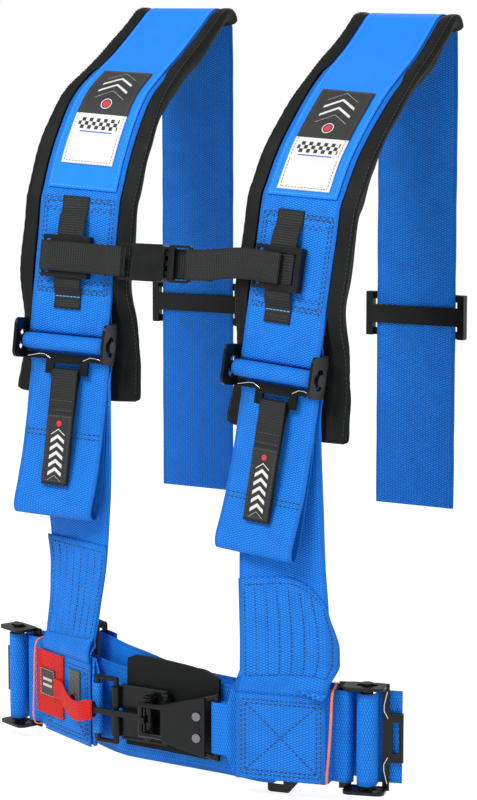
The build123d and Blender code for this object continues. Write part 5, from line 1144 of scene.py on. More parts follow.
52.33 -49.865 176.384, 153.576 -56.98 166.253, 158.361 -62.153 167.362, 157.983 -72.38 170.764,
155.412 -74.618 171.815, 143.104 -73.753 173.046, 141.658 -72.49 172.81, 141.502 -71.319 172.445,
141.616 -68.231 171.418, 63.399 -62.735 179.244, 63.284 -65.822 180.271, 63.043 -66.966 180.676,
61.511 -68.019 181.21, 49.203 -67.154 182.442, 46.811 -64.568 181.888, 47.189 -54.34 178.485,
50.524 -53.135 151.858, 151.77 -60.25 141.728, 156.453 -65.544 141.911, 155.861 -76.029 143.353,
153.24 -78.328 143.941, 140.931 -77.463 145.172, 139.509 -76.171 145.158, 139.378 -74.97 145.015,
139.557 -71.805 144.58, 61.339 -66.308 152.406, 61.16 -69.473 152.841, 60.895 -70.646 153.024,
59.339 -71.729 153.336, 47.031 -70.864 154.568, 44.689 -68.217 154.476, 45.281 -57.732 153.035,
48.36 -56.835 124.058, 149.606 -63.95 113.928, 154.289 -69.244 114.111, 153.697 -79.729 115.553,
151.075 -82.028 116.141, 138.767 -81.163 117.372, 137.345 -79.871 117.358,
137.214 -78.67 117.215, 137.393 -75.505 116.78, 59.175 -70.008 124.606, 58.996 -73.173 125.041,
58.731 -74.346 125.224, 57.175 -75.429 125.536, 44.866 -74.564 126.768, 42.524 -71.917 126.676,
43.117 -61.432 125.235,
46.195 -60.535 96.258, 147.441 -67.65 86.128, 152.125 -72.944 86.311, 151.532 -83.429 87.753,
148.911 -85.728 88.341, 136.603 -84.863 89.572, 135.181 -83.571 89.558, 135.049 -82.37 89.415,
135.228 -79.205 88.98, 57.011 -73.708 96.806, 56.832 -76.873 97.241, 56.566 -78.046 97.424,
55.01 -79.129 97.736, 42.702 -78.264 98.968, 40.36 -75.617 98.876, 40.953 -65.132 97.435,
41.5 -55.041 47.817, 146.382 -61.964 40.573, 151.08 -67.239 40.909, 150.884 -70.701 41.385,
147.205 -73.932 42.102, 138.553 -73.56 42.726, 136.556 -73.527 42.877, 134.56 -73.495 43.028,
132.464 -73.456 43.186, 54.021 -68.277 48.604, 51.936 -68.041 48.734, 49.951 -67.81 48.858,
47.965 -67.58 48.982, 39.336 -66.812 49.552, 36.047 -63.12 49.317, 36.243 -59.658 48.841,
38.911 -54.238 28.768, 146.422 -61.335 21.342, 151.119 -66.609 21.678, 150.924 -70.071 22.154,
147.244 -73.303 22.871, 137.278 -72.844 23.586, 135.282 -72.811 23.737, 133.285 -72.779 23.888,
131.189 -72.74 24.046, 52.746 -67.561 29.464, 50.661 -67.325 29.595, 48.676 -67.094 29.719,
46.691 -66.864 29.843, 36.747 -66.009 30.503, 33.459 -62.317 30.268, 33.654 -58.855 29.792,
35.764 -56.967 7.622, 146.261 -64.262 -0.01, 150.958 -69.536 0.326, 150.763 -72.998 0.802,
147.083 -76.23 1.519, 135.624 -75.672 2.337, 133.627 -75.639 2.488, 131.631 -75.607 2.639,
129.535 -75.568 2.797, 51.092 -70.39 8.215, 49.007 -70.153 8.346, 47.022 -69.922 8.47,
45.036 -69.692 8.594, 33.6 -68.738 9.357, 30.311 -65.046 9.122, 30.507 -61.584 8.646,
33.372 -59.042 -8.449, 146.138 -66.486 -16.237, 150.836 -71.76 -15.901, 150.64 -75.222 -15.425,
146.96 -78.454 -14.708, 134.367 -77.821 -13.812, 132.37 -77.789 -13.661, 130.373 -77.756 -13.51,
128.277 -77.717 -13.352, 49.835 -72.539 -7.934, 47.75 -72.302 -7.803, 45.764 -72.072 -7.679,
43.779 -71.841 -7.555, 31.208 -70.813 -6.714, 27.919 -67.121 -6.949, 28.115 -63.659 -7.425,
38.365 -64.048 -13.392, 139.903 -70.751 -20.405, 144.741 -73.552 -20.409, 144.629 -75.53 -20.137,
140.949 -78.762 -19.42, 133.97 -78.5 -18.912, 131.973 -78.467 -18.761, 129.976 -78.435 -18.61,
127.88 -78.396 -18.452, 49.438 -73.218 -13.034, 47.353 -72.981 -12.903, 45.367 -72.75 -12.779,
43.382 -72.52 -12.655, 36.425 -71.862 -12.201, 33.136 -68.17 -12.436, 33.248 -66.192 -12.708"""),
}


# ----------------------------------------------------------------- belt geometry
class Belt:
    """A belt line resampled finely.

    Per station: p position, w direction across, n outward direction, t direction along,
    width, and s the arc length. faces holds the offsets of the two faces along n.
    """

    def __init__(self, line, across, width=WEB_WIDTH, faces=WEB_FACES, step=2.4):
        line = np.asarray(line, float)
        across = unit(np.broadcast_to(across, line.shape))
        s = arc_length(line)
        even = np.linspace(0, s[-1], int(round(s[-1] / step)) + 1)
        q = np.unique(np.concatenate([even, s]))
        q = q[np.concatenate([[True], np.diff(q) > 0.35])]
        q[-1] = s[-1]
        self.p = pchip(s, line, q)
        w = unit(pchip(s, across, q))
        self.t = unit(np.gradient(self.p, q, axis=0))
        self.n = unit(np.cross(self.t, w))
        self.w = unit(w - self.t * (w * self.t).sum(1)[:, None])
        self.width = np.interp(q, s, np.broadcast_to(width, s.shape))
        self.s = q
        self.faces = faces

    def at(self, s):
        """Position and the across, outward and along directions at arc length s."""
        return (lookup(s, self.s, self.p), unit(lookup(s, self.s, self.w)),
                unit(lookup(s, self.s, self.n)), unit(lookup(s, self.s, self.t)))

    def cross(self, z, k=0):
        """Arc length of the k-th place where the belt passes height z."""
        h = self.p[:, 2] - z
        i = np.nonzero(h[:-1] * h[1:] <= 0)[0][k]
        return self.s[i] + h[i] / (h[i] - h[i + 1]) * (self.s[i + 1] - self.s[i])

    def point(self, s, across, out):
        """A point off the line, with the outward and along directions there."""
        p, w, n, t = self.at(s)
        return p + w * across + n * out, n, t

    def stations(self, start, end, margin):
        inner = [float(s) for s in self.s if start + margin < s < end - margin]
        return [start] + inner + [end]


def layer(belt, start, end, width, faces):
    """Part of a belt line as its own belt, with its own width and thickness."""
    places = [belt.at(s) for s in belt.stations(start, end, margin=0.6)]
    return Belt([q[0] for q in places], [q[1] for q in places], width, faces)


def cut(belt, start, end):
    """The run of a belt between two arc lengths, with its own widths."""
    s = np.array(belt.stations(start, end, margin=0.4))
    places = [belt.at(x) for x in s]
    part = Belt.__new__(Belt)
    part.p, part.w, part.n, part.t = (np.array([q[i] for q in places]) for i in range(4))
    part.width = np.interp(s, belt.s, belt.width)
    part.s = s - start
    part.faces = belt.faces
    return part


def front(belt, s):
    """+1 or -1: the face of the belt that looks to -Y."""
    return 1 if belt.at(s)[2][1] < 0 else -1


def side_belts(side):
    turn, run = TURN_ACROSS[side], FRONT_ACROSS[side]
    at_adjuster = ADJUSTER[side]["across"]
    chest = CHEST_LINE[side]
    chest_across = ([ADJUSTER[side]["along"]] * (len(chest) - BUCKLE_ROWS)
                    + [BUCKLE["y"]] * BUCKLE_ROWS)
    tape = {"width": TAPE_WIDTH, "faces": TAPE_FACES}
    return {
        "pad": Belt(PAD_LINE[side], turn + [run] * 10),
        "upper": Belt(UPPER_LINE[side], turn + [run] * 8 + [at_adjuster] * 9 + [run] * 4),
        "lower": Belt(LOWER_LINE[side], [at_adjuster] * 59 + LOWER_ACROSS[side]),
        "lap": Belt(LAP_LINE[side], Z_AXIS, LAP_WIDTHS),
        "anchor": Belt(ANCHOR_LINE[side], Z_AXIS),
        "rail": Belt(RAIL_LINE[side], at_adjuster, **tape),
        "chest": Belt(chest, chest_across, **tape),
        "pull": Belt(PULL_LINE[side], at_adjuster, 25.0, TAPE_FACES),
    }


# ----------------------------------------------------------------------- meshes
def mesh_object(name, verts, faces, uvs, material):
    """Smooth mesh from design millimetres, with an optional millimetre UV map."""
    mesh = bpy.data.meshes.new(name)
    mesh.from_pydata(to_metres(verts).tolist(), [], [tuple(int(i) for i in f) for f in faces])
    if uvs is not None:
        uv_map = mesh.uv_layers.new(name="mm")
        corners = np.zeros(len(mesh.loops), np.int64)
        mesh.loops.foreach_get("vertex_index", corners)
        uv_map.data.foreach_set("uv", np.asarray(uvs, np.float32)[corners].ravel())
    mesh.materials.append(material)
    mesh.polygons.foreach_set("use_smooth", np.ones(len(mesh.polygons), bool))
    mesh.update()
    o = bpy.data.objects.new(name, mesh)
    scene.collection.objects.link(o)
    return o


def outward(o):
    """Turn all faces outwards."""
    bm = bmesh.new()
    bm.from_mesh(o.data)
    bmesh.ops.recalc_face_normals(bm, faces=bm.faces)
    bm.to_mesh(o.data)
    bm.free()
    return o


def settle(o, node=None, body=None):
    if body:
        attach(o, body)
    if node:
        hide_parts(node)


def pick(*objects):
    """Select some objects; the last one becomes active."""
    bpy.ops.object.select_all(action="DESELECT")
    for o in objects:
        o.select_set(True)
    bpy.context.view_layer.objects.active = objects[-1]


def apply_modifier(o, name):
    pick(o)
    bpy.ops.object.modifier_apply(modifier=name)


def vertex_array(mesh, key):
    values = np.zeros(len(mesh.vertices) * 3)
    mesh.vertices.foreach_get(key, values)
    return values.reshape(-1, 3)


def set_positions(mesh, positions):
    mesh.vertices.foreach_set("co", positions.ravel())
    mesh.update()


def strap(name, belt, material, wave, seed, segments=12, roundness=0.75):
    """Closed webbing mesh with rounded selvedges; UV in mm across and along."""
    low, high = belt.faces
    radius = (high - low) / 2
    middle = (low + high) / 2
    round_in = radius * roundness
    # ring stations: fraction of the half width, face height, angle on a rounded edge
    steps = [2 * i / segments for i in range(segments + 1)]
    ring = [(-1 + x, high, None) for x in steps]
    ring += [(1.0, None, a) for a in (60, 20, -20, -60)]
    ring += [(1 - x, low, None) for x in steps]
    ring += [(-1.0, None, a) for a in (-60, -20, 20, 60)]
    s = belt.s
    count, around = len(s), len(ring)
    verts = np.zeros((count, around, 3))
    uvs = np.zeros((count, around, 2))
    half = belt.width / 2 + 0.12 * wobble(s / 9.0, seed=seed)
    lift = wave * wobble(s / 23.0, seed=seed + 1)
    for j, (f, face, angle) in enumerate(ring):
        if angle is None:
            across = f * (half - round_in)
            # thinner woven edge
            height = middle + (face - middle) * (1.0 - 0.10 * (abs(f) > 0.93))
            u = f * half
        else:
            turn = math.radians(angle)
            across = f * (half - round_in + round_in * math.cos(turn))
            height = middle + radius * 0.92 * math.sin(turn)
            u = f * (half + (0.4 if angle > 0 else 0.9))
        ripple = wave * 0.9 * wobble(s / 14.0 + 3.0 * f, f * 2.0, seed=seed + 2) * abs(f) ** 3
        offset = height + (lift + ripple)
        verts[:, j] = belt.p + belt.w * across[:, None] + belt.n * offset[:, None]
        uvs[:, j, 0] = u
        uvs[:, j, 1] = s
    faces = []
    for i in range(count - 1):
        a, b = i * around, (i + 1) * around
        for j in range(around):
            k = (j + 1) % around
            faces.append((a + j, b + j, b + k, a + k))
    faces.append(tuple(range(around)))
    faces.append(tuple((count - 1) * around + j for j in reversed(range(around))))
    return outward(mesh_object(name, verts.reshape(-1, 3), faces, uvs.reshape(-1, 2), material))


class Stitches:
    """Collects thread stitches as small rounded loops and makes one mesh."""

    # Places along a stitch and its relative radius there
    PROFILE = ((0.0, 0.45), (0.12, 0.95), (0.5, 1.0), (0.88, 0.95), (1.0, 0.45))
    AROUND = 6

    def __init__(self):
        self.verts, self.faces = [], []

    def one(self, start, end, normal, radius):
        normal = unit(normal)
        aside = unit(np.cross(unit(end - start), normal))
        base, k = len(self.verts), self.AROUND
        for t, scale in self.PROFILE:
            arch = math.sin(math.pi * t) * 0.3 * radius * 2 - 0.35 * radius
            centre = start + (end - start) * t + normal * arch
            for j in range(k):
                a = 2 * math.pi * j / k
                spoke = aside * math.cos(a) + normal * math.sin(a) * 0.8
                self.verts.append(centre + spoke * radius * scale)
        last = len(self.PROFILE) - 1
        for i in range(last):
            low, high = base + i * k, base + (i + 1) * k
            for j in range(k):
                m = (j + 1) % k
                self.faces.append((low + j, low + m, high + m, high + j))
        self.faces.append(tuple(base + j for j in reversed(range(k))))
        self.faces.append(tuple(base + last * k + j for j in range(k)))

    def line(self, points, normals, pitch=3.2, fill=0.74, radius=0.46, seed=1):
        """Stitches along a line; fill is the visible part of each pitch."""
        points, normals = np.asarray(points, float), np.asarray(normals, float)
        s = arc_length(points)
        n = int(s[-1] / pitch)
        rng = np.random.default_rng(abs(int(round(seed * 10))))
        for i in range(n):
            a = (i + 0.13) * s[-1] / n
            b = a + fill * s[-1] / n
            start, end = lookup(a, s, points), lookup(b, s, points)
            skew = rng.uniform(-0.10, 0.10)
            normal = lookup((a + b) / 2, s, normals)
            aside = unit(np.cross(unit(end - start), normal))
            self.one(start + aside * skew, end - aside * skew, normal, radius)

    def on(self, belt, corners, out, face=1, pitch=4.0, fill=0.70, radius=0.50, seed=1):
        """Stitches through (arc length, across) corners on one face of a belt."""
        points, normals = [], []
        for (s0, a0), (s1, a1) in zip(corners, corners[1:]):
            k = max(2, int(math.hypot(s1 - s0, a1 - a0) / 2.0))
            for i in range(k + 1):
                t = i / k
                p, n, _ = belt.point(s0 + (s1 - s0) * t, a0 + (a1 - a0) * t, out * face)
                points.append(p)
                normals.append(n * face)
        self.line(points, normals, pitch, fill, radius, seed)

    def mesh(self, name, material):
        return mesh_object(name, np.array(self.verts), self.faces, None, material)

    def build(self, name, material, slot_name, body="belts"):
        settle(self.mesh(name, material), body=body)


def box_corners(s0, s1, a):
    return [(s0, -a), (s0, a), (s1, a), (s1, -a), (s0, -a)]


# ------------------------------------------------------------ belts of one side
def upper_web(side, belt, shift):
    """Shoulder belt: the run over the shoulder is attached to the belts body, the front run is
    not.
    """
    node = f"upper_web_{side}"
    split = belt.cross(186.0, 1)
    tail = strap(f"web_tail_{side}", cut(belt, 0.0, split), BLUE, wave=0.08, seed=2 + shift)
    settle(tail, node, body="belts")
    o = strap(f"web_upper_{side}", cut(belt, split, belt.s[-1]), BLUE, wave=0.08,
              seed=1 + shift)
    st = Stitches()
    z_top, z_bottom = {"left": (172.0, 91.0), "right": (166.0, 88.0)}[side]
    s0, s1 = belt.cross(z_top, 1), belt.cross(z_bottom, 1)
    face = front(belt, (s0 + s1) / 2)
    for inset in (4.5, 7.5):
        corners = box_corners(s0 + inset - 4, s1 - inset + 4, WEB_HALF - inset)
        st.on(belt, corners, 0.85, face, seed=inset)
    # zigzag bars near both ends of the box
    for centre in (s0 + 3.0, s0 + 10.0, s1 - 10.0, s1 - 3.0):
        zigzag = [(centre + (2.2 if i % 2 else -2.2), -33.5 + 67.0 * i / 22)
                  for i in range(23)]
        for leg in zip(zigzag, zigzag[1:]):
            st.on(belt, leg, 0.85, face, pitch=1.9, radius=0.36, seed=int(centre))
    # the stitches are joined to the belt
    threads = st.mesh(f"tmp_stitch_{side}", T_BLUE)
    o.data.materials.append(T_BLUE)
    pick(threads, o)
    bpy.ops.object.join()
    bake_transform(o)
    settle(o, node)


def lower_web(side, belt, shift):
    """Lower belt with the hanging hand loop, sewn to the lap belt."""
    o = strap(f"web_lower_{side}", belt, BLUE, wave=0.12, seed=5 + shift)
    settle(o, f"lower_web_{side}", body="belts")
    st = Stitches()
    z_rows = {"left": -27.0, "right": -63.0}[side]
    for drop in (0.0, 4.0):
        s = belt.cross(z_rows - drop, 1)
        st.on(belt, [(s, -36), (s, 36)], 0.85, front(belt, s), seed=3)
    # box and cross where it is sewn to the lap belt
    s0, s1 = belt.cross(-225.0), belt.s[-1] - 4.0
    face = front(belt, s1 - 10)
    for inset in (0.0, 3.2):
        st.on(belt, box_corners(s0 + inset, s1 - inset, 33.5 - inset), 0.85, face,
              seed=11 + inset)
    for a, seed in ((-30.5, 15), (30.5, 16)):
        st.on(belt, [(s0 + 3, a), (s1 - 3, -a)], 0.85, face, radius=0.46, seed=seed)
    st.build(f"stitch_lower_{side}", T_BLUE, "blue_webbing")


def panel(side, belt):
    """Quilted reinforcement panel sewn on the lower belt, above its box stitch."""
    columns, bands = 30, 36
    row_first, row_pitch, row_dip = -33.5, 9.6, 0.42
    thickness = 2.25
    s_top = belt.cross({"left": -118.0, "right": -127.0}[side])
    s_low = belt.cross(-219.0)
    face = front(belt, (s_top + s_low) / 2)
    s_fold, s_end = belt.cross(-200.0), belt.cross(-221.0)
    span = s_end - s_fold

    def outline(fu, fv):
        """Across and arc length at fractions across and down the panel."""
        a = -38.3 + 76.6 * fu
        if side == "right":
            top = s_top + 30.0 * max(0.0, (fu - 0.42) / 0.58) ** 2.6
            bulge = 8.0 * fu ** 3 * float(smooth(fv, 0.0, 0.45))
            a += bulge * (1 - 0.85 * float(smooth(fv, 0.62, 0.92)))
        else:
            top = s_top + 6.0 * fu
            a += (-3.0 * (1 - fu) ** 3 * (1 - float(smooth(fv, 0.0, 0.25)))
                  + 1.2 * fu ** 3 * math.sin(fv * 7.0))
        return a, top + (s_low - top) * fv

    def surface(a, s, h):
        """Point over the belt; the last run bridges the fold in a smooth slope."""
        if s <= s_fold:
            p, n, _ = belt.point(s, a, h * face)
            return p, n * face
        t = min(1.0, (s - s_fold) / span)
        p0, n0, d0 = belt.point(s_fold, a, h * face)
        p1, n1, d1 = belt.point(s_end, a, (h - 0.5) * face)
        p = ((2 * t ** 3 - 3 * t ** 2 + 1) * p0 + (t ** 3 - 2 * t ** 2 + t) * d0 * span
             + (-2 * t ** 3 + 3 * t ** 2) * p1 + (t ** 3 - t ** 2) * d1 * span)
        n = unit(n0 * (1 - t) + n1 * t) * face
        return p + n * 3.2 * math.sin(math.pi * t) ** 1.2, n

    def dip(a):
        """Quilting depth: deepest on a stitch row."""
        row = abs(((a - row_first) / row_pitch) % 1.0 - 0.5) * 2.0
        return row_dip * row ** 5

    verts, uvs = [], []
    for outer in (True, False):
        for i in range(bands + 1):
            quilted = (float(smooth(i, 2, 5))
                       * (1 - float(smooth(i, bands * 0.78, bands * 0.84))))
            for j in range(columns + 1):
                a, s = outline(j / columns, i / bands)
                h = 0.86
                if outer:
                    edge = min(j, columns - j)
                    h = thickness + 0.10 * float(wobble(a / 9.0, s / 11.0, seed=77))
                    h -= dip(a) * quilted
                    h -= (0.35 * (edge == 0) + 0.12 * (edge == 1)
                          + 0.3 * (i == 0 or i == bands))
                verts.append(surface(a, s, h)[0])
                uvs.append((a, s + 3.0))
    stride = columns + 1
    under = (bands + 1) * stride
    faces = []
    for i in range(bands):
        for j in range(columns):
            q = i * stride + j
            faces.append((q, q + 1, q + stride + 1, q + stride))
            faces.append((under + q, under + q + stride, under + q + stride + 1,
                          under + q + 1))
    rim = ([j for j in range(stride)]
           + [i * stride + columns for i in range(1, bands + 1)]
           + [bands * stride + j for j in range(columns - 1, -1, -1)]
           + [i * stride for i in range(bands - 1, 0, -1)])
    for q, r in zip(rim, rim[1:] + rim[:1]):
        faces.append((q, under + q, under + r, r))
    o = outward(mesh_object(f"web_panel_{side}", np.array(verts), faces, uvs, BLUE))
    settle(o, body="belts")

    st = Stitches()

    def sew(fus, fvs, seed):
        points, normals = [], []
        for fu, fv in zip(fus, fvs):
            a, s = outline(fu, fv)
            p, n = surface(a, s, thickness - dip(a) + 0.1)
            points.append(p)
            normals.append(n)
        st.line(points, normals, pitch=3.3, seed=seed)

    samples = 40
    g = np.linspace(0, 1, samples)
    for c in range(8):
        fu = (row_first + row_pitch * c + 38.3) / 76.6
        sew(np.full(samples, fu), 0.07 + 0.74 * g, 20 + c)
    sew(0.06 + 0.88 * g, np.full(samples, 0.055), 31)
    sew(0.06 + 0.88 * g, np.full(samples, 0.815), 32)
    st.build(f"stitch_panel_{side}", T_BLUE, "blue_webbing")


def lap_web(side, belt, shift):
    node = f"lap_web_{side}"
    if side == "right":
        # the loop round the link is made as a piece of its own
        outer = int(np.argmax(belt.p[:, 0]))
        i = outer + int(np.nonzero(belt.p[outer:, 0] < 111.0)[0][0])
        split = float(belt.s[i])
        loop = strap("web_loop_right", cut(belt, split, belt.s[-1]), BLUE, wave=0.06,
                     seed=10 + shift)
        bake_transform(loop)
        settle(loop, node)
        belt = cut(belt, 0.0, split)
    o = strap(f"web_lap_{side}", belt, BLUE, wave=0.06, seed=9 + shift)
    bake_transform(o)
    settle(o, node)


def anchor_web(side, belt, shift):
    o = strap(f"web_anchor_{side}", belt, BLUE, wave=0.12, seed=13 + shift)
    settle(o, f"anchor_web_{side}", body="belts")


def cover(side, pad_belt, shift):
    """Blue cover sewn over the shoulder belt."""
    start = float(arc_length(np.array(PAD_LINE[side][:7]))[-1])
    belt = layer(pad_belt, start, pad_belt.cross(179.5, 1), COVER_WIDTH, (-0.95, 0.0))
    o = strap(f"cover_{side}", belt, BLUE_COVER, wave=0.05, seed=17 + shift, segments=16,
              roundness=1.0)
    settle(o, f"pad_cover_{side}", body="belts")
    st = Stitches()
    length = belt.s[-1]
    for a in (-31.2, 31.2):
        st.on(belt, [(3.0, a), (length - 3.0, a)], 0.02, pitch=3.6, radius=0.27, seed=int(a))
    st.on(belt, [(length - 2.2, -31), (length - 2.2, 31)], 0.02, pitch=3.4, radius=0.3,
          seed=6)
    st.build(f"stitch_cover_{side}", T_SKY, "blue_webbing")


def shoulder_label(side, pad_belt, shift):
    """Woven label, sewn with grey thread above and black thread below."""
    z_top, z_bottom = {"left": (277.0, 200.0), "right": (262.0, 184.0)}[side]
    belt = layer(pad_belt, pad_belt.cross(z_top, 1), pad_belt.cross(z_bottom, 1), 50.0,
                 (0.4, 1.3))
    o = strap(f"label_{side}", belt, LABEL, wave=0.06, seed=21 + shift, segments=16,
              roundness=1.0)
    settle(o, f"shoulder_label_{side}", body="belts")
    length, a, inset = belt.s[-1], 22.4, 2.2
    up, low = Stitches(), Stitches()
    for st, turn, edge, seed in ((up, length * 0.70, inset, 4),
                                 (low, length * 0.72, length - inset, 5)):
        st.on(belt, [(turn, -a), (edge, -a), (edge, a), (turn, a)], 1.32, pitch=3.0,
              radius=0.24, seed=seed)
    up.build(f"stitch_label_up_{side}", T_GREY, "label_fabric")
    low.build(f"stitch_label_low_{side}", T_BLACK, "label_fabric")


def rail_strap(side, belt, shift):
    o = strap(f"rail_strap_{side}", belt, BLACK_WEB, wave=0.03, seed=25 + shift, segments=8)
    settle(o, f"chest_rail_strap_{side}", body="belts")
    length = belt.s[-1]
    face = front(belt, length / 2)
    st, blue = Stitches(), Stitches()
    bars = [(s, int(s)) for s in (3.0, 6.5, 10.0)]
    bars += [(length - s, int(s) + 9) for s in (3.0, 6.0)]
    for s, seed in bars:
        st.on(belt, [(s, -10.5), (s, 10.5)], 0.75, face, pitch=2.8, radius=0.28, seed=seed)
    s = length - 10.5
    blue.on(belt, [(s, -12.0), (s, 12.0)], 0.8, face, pitch=3.4, fill=0.86, radius=0.4,
            seed=8)
    st.build(f"stitch_rail_{side}", T_BLACK, "black_webbing")
    blue.build(f"stitch_rail_blue_{side}", T_SKY, "blue_webbing")


def chest_belt(side, belt, shift):
    o = strap(f"chest_belt_{side}", belt, BLACK_WEB, wave=0.05, seed=29 + shift, segments=8)
    settle(o, f"chest_strap_{side}", body="chest_strap")


def pull_tab(side, belt, shift):
    """Folded black tape with a woven patch on its front strand."""
    body = f"pull_tab_{side}"
    o = strap(f"pull_tape_{side}", belt, BLACK_WEB, wave=0.03, seed=33 + shift, segments=8)
    settle(o, body, body=body)
    face = front(belt, 20.0)
    faces = (0.72, 1.35) if face > 0 else (-1.35, -0.72)
    patch = layer(belt, 2.0, 60.0, 24.0, faces)
    o = strap(f"pull_label_{side}", patch, TAB, wave=0.03, seed=37 + shift, segments=10,
              roundness=0.9)
    # v runs down from the top of the tab
    for corner in o.data.uv_layers["mm"].data:
        corner.uv[1] = 84.0 - corner.uv[1]
    settle(o, body=body)
    st = Stitches()
    top, low, a = patch.s[-1] - 1.6, 1.6, 10.2
    st.on(patch, [(top, -a), (low, -a), (low, a), (top, a), (top, -a)], 1.38, face,
          pitch=2.9, radius=0.24, seed=3)
    for s, seed in ((64.0, 4), (72.0, 5)):
        st.on(belt, [(s, -10.5), (s, 10.5)], 0.76, face, pitch=2.8, radius=0.26, seed=seed)
    st.build(f"stitch_tab_{side}", T_GREY, "label_fabric", body=body)


for side in SIDES:
    belts, shift = side_belts(side), SEED_SHIFT[side]
    upper_web(side, belts["upper"], shift)
    lower_web(side, belts["lower"], shift)
    panel(side, belts["lower"])
    lap_web(side, belts["lap"], shift)
    anchor_web(side, belts["anchor"], shift)
    cover(side, belts["pad"], shift)
    shoulder_label(side, belts["pad"], shift)
    rail_strap(side, belts["rail"], shift)
    chest_belt(side, belts["chest"], shift)
    pull_tab(side, belts["pull"], shift)

# ------------------------------------------------------------------------- pads
# Mesh segments on each of the sixteen sides of a pad section
PAD_COUNTS = [24, 3, 4, 2, 4, 1, 2, 2, 20, 2, 2, 1, 4, 2, 4, 3]
PAD_AROUND = sum(PAD_COUNTS)
CORNER = np.cumsum([0] + PAD_COUNTS)
PAD_STEP = 4.4
IN_CHANNEL = np.zeros(PAD_AROUND, bool)
IN_CHANNEL[CORNER[6]:CORNER[11] + 1] = True
SEAMS = (CORNER[3], CORNER[14])


def pad_grid(side):
    """Vertex grid, UV grid and arc lengths of a pad before it swells."""
    sections = []
    for section in np.array(PAD_SECTIONS[side]).reshape(-1, 16, 3):
        ring = []
        for j, count in enumerate(PAD_COUNTS):
            a, b = section[j], section[(j + 1) % 16]
            ring += [a + (b - a) * i / count for i in range(count)]
        sections.append(ring)
    sections = np.array(sections)
    s = arc_length(sections.mean(axis=1))
    # leave out sections that crowd the one before
    keep = np.concatenate([[True], np.diff(s) > 1.5])
    keep[-1] = True
    sections, s = sections[keep], s[keep]
    q = np.linspace(0, s[-1], int(round(s[-1] / PAD_STEP)) + 1)
    grid = pchip(s, sections.reshape(len(s), -1), q).reshape(len(q), PAD_AROUND, 3)
    # round the corners of each section, leaving the channel alone
    pull = np.where(IN_CHANNEL, 0.0, 0.5)[None, :, None]
    for _ in range(5):
        average = (np.roll(grid, 1, axis=1) + np.roll(grid, -1, axis=1)) / 2
        grid = grid + (average - grid) * pull
    closed = np.concatenate([grid, grid[:, :1]], axis=1)
    sides = np.linalg.norm(np.diff(closed, axis=1), axis=2)
    u = np.concatenate([np.zeros((len(q), 1)), np.cumsum(sides, axis=1)[:, :-1]], axis=1)
    uvs = np.stack([u, np.repeat(q[:, None], PAD_AROUND, 1)], -1)
    return grid, uvs, q


def pad_faces(count):
    R = PAD_AROUND
    faces = []
    for i in range(count - 1):
        for j in range(R):
            k = (j + 1) % R
            faces.append((i * R + j, i * R + k, (i + 1) * R + k, (i + 1) * R + j))
    # end caps: strips between points mirrored about the middle of the back face
    middle = PAD_COUNTS[0] // 2
    for base, order in ((0, 1), ((count - 1) * R, -1)):
        for i in range(R // 2):
            quad = [base + (middle - i) % R, base + (middle - i - 1) % R,
                    base + (middle + i + 1) % R, base + (middle + i) % R]
            corners = [x for k, x in enumerate(quad) if x not in quad[:k]]
            if len(corners) >= 3:
                faces.append(tuple(corners[::order]))
    return faces


def puff(o, pin, limit=0.0042, frames=16, pressure=4.0):
    """Cloth pressure pass: the cover swells between its sewn lines."""
    mesh = o.data
    before = vertex_array(mesh, "co")
    group = o.vertex_groups.new(name="pin")
    for weight in (1.0, 0.55):
        group.add([int(i) for i in np.nonzero(pin == weight)[0]], weight, "REPLACE")
    cloth = o.modifiers.new("swell", "CLOTH")
    settings = cloth.settings
    settings.quality = 4
    settings.mass = 0.25
    settings.tension_stiffness = settings.compression_stiffness = 12
    settings.shear_stiffness = 8
    settings.bending_stiffness = 0.6
    settings.vertex_group_mass = "pin"
    settings.use_pressure = True
    settings.uniform_pressure_force = pressure
    settings.effector_weights.gravity = 0.0
    cloth.point_cache.frame_start, cloth.point_cache.frame_end = 1, frames
    for frame in range(1, frames + 1):
        scene.frame_set(frame)
    swollen = o.evaluated_get(bpy.context.evaluated_depsgraph_get())
    move = vertex_array(swollen.data, "co") - before
    o.modifiers.remove(cloth)
    scene.frame_set(1)
    length = np.linalg.norm(move, axis=1, keepdims=True)
    move = move * np.minimum(1.0, limit / np.maximum(length, 1e-9))
    # guards against a simulation that blows up
    if not np.isfinite(move).all():
        move[:] = 0
    set_positions(mesh, before + move)


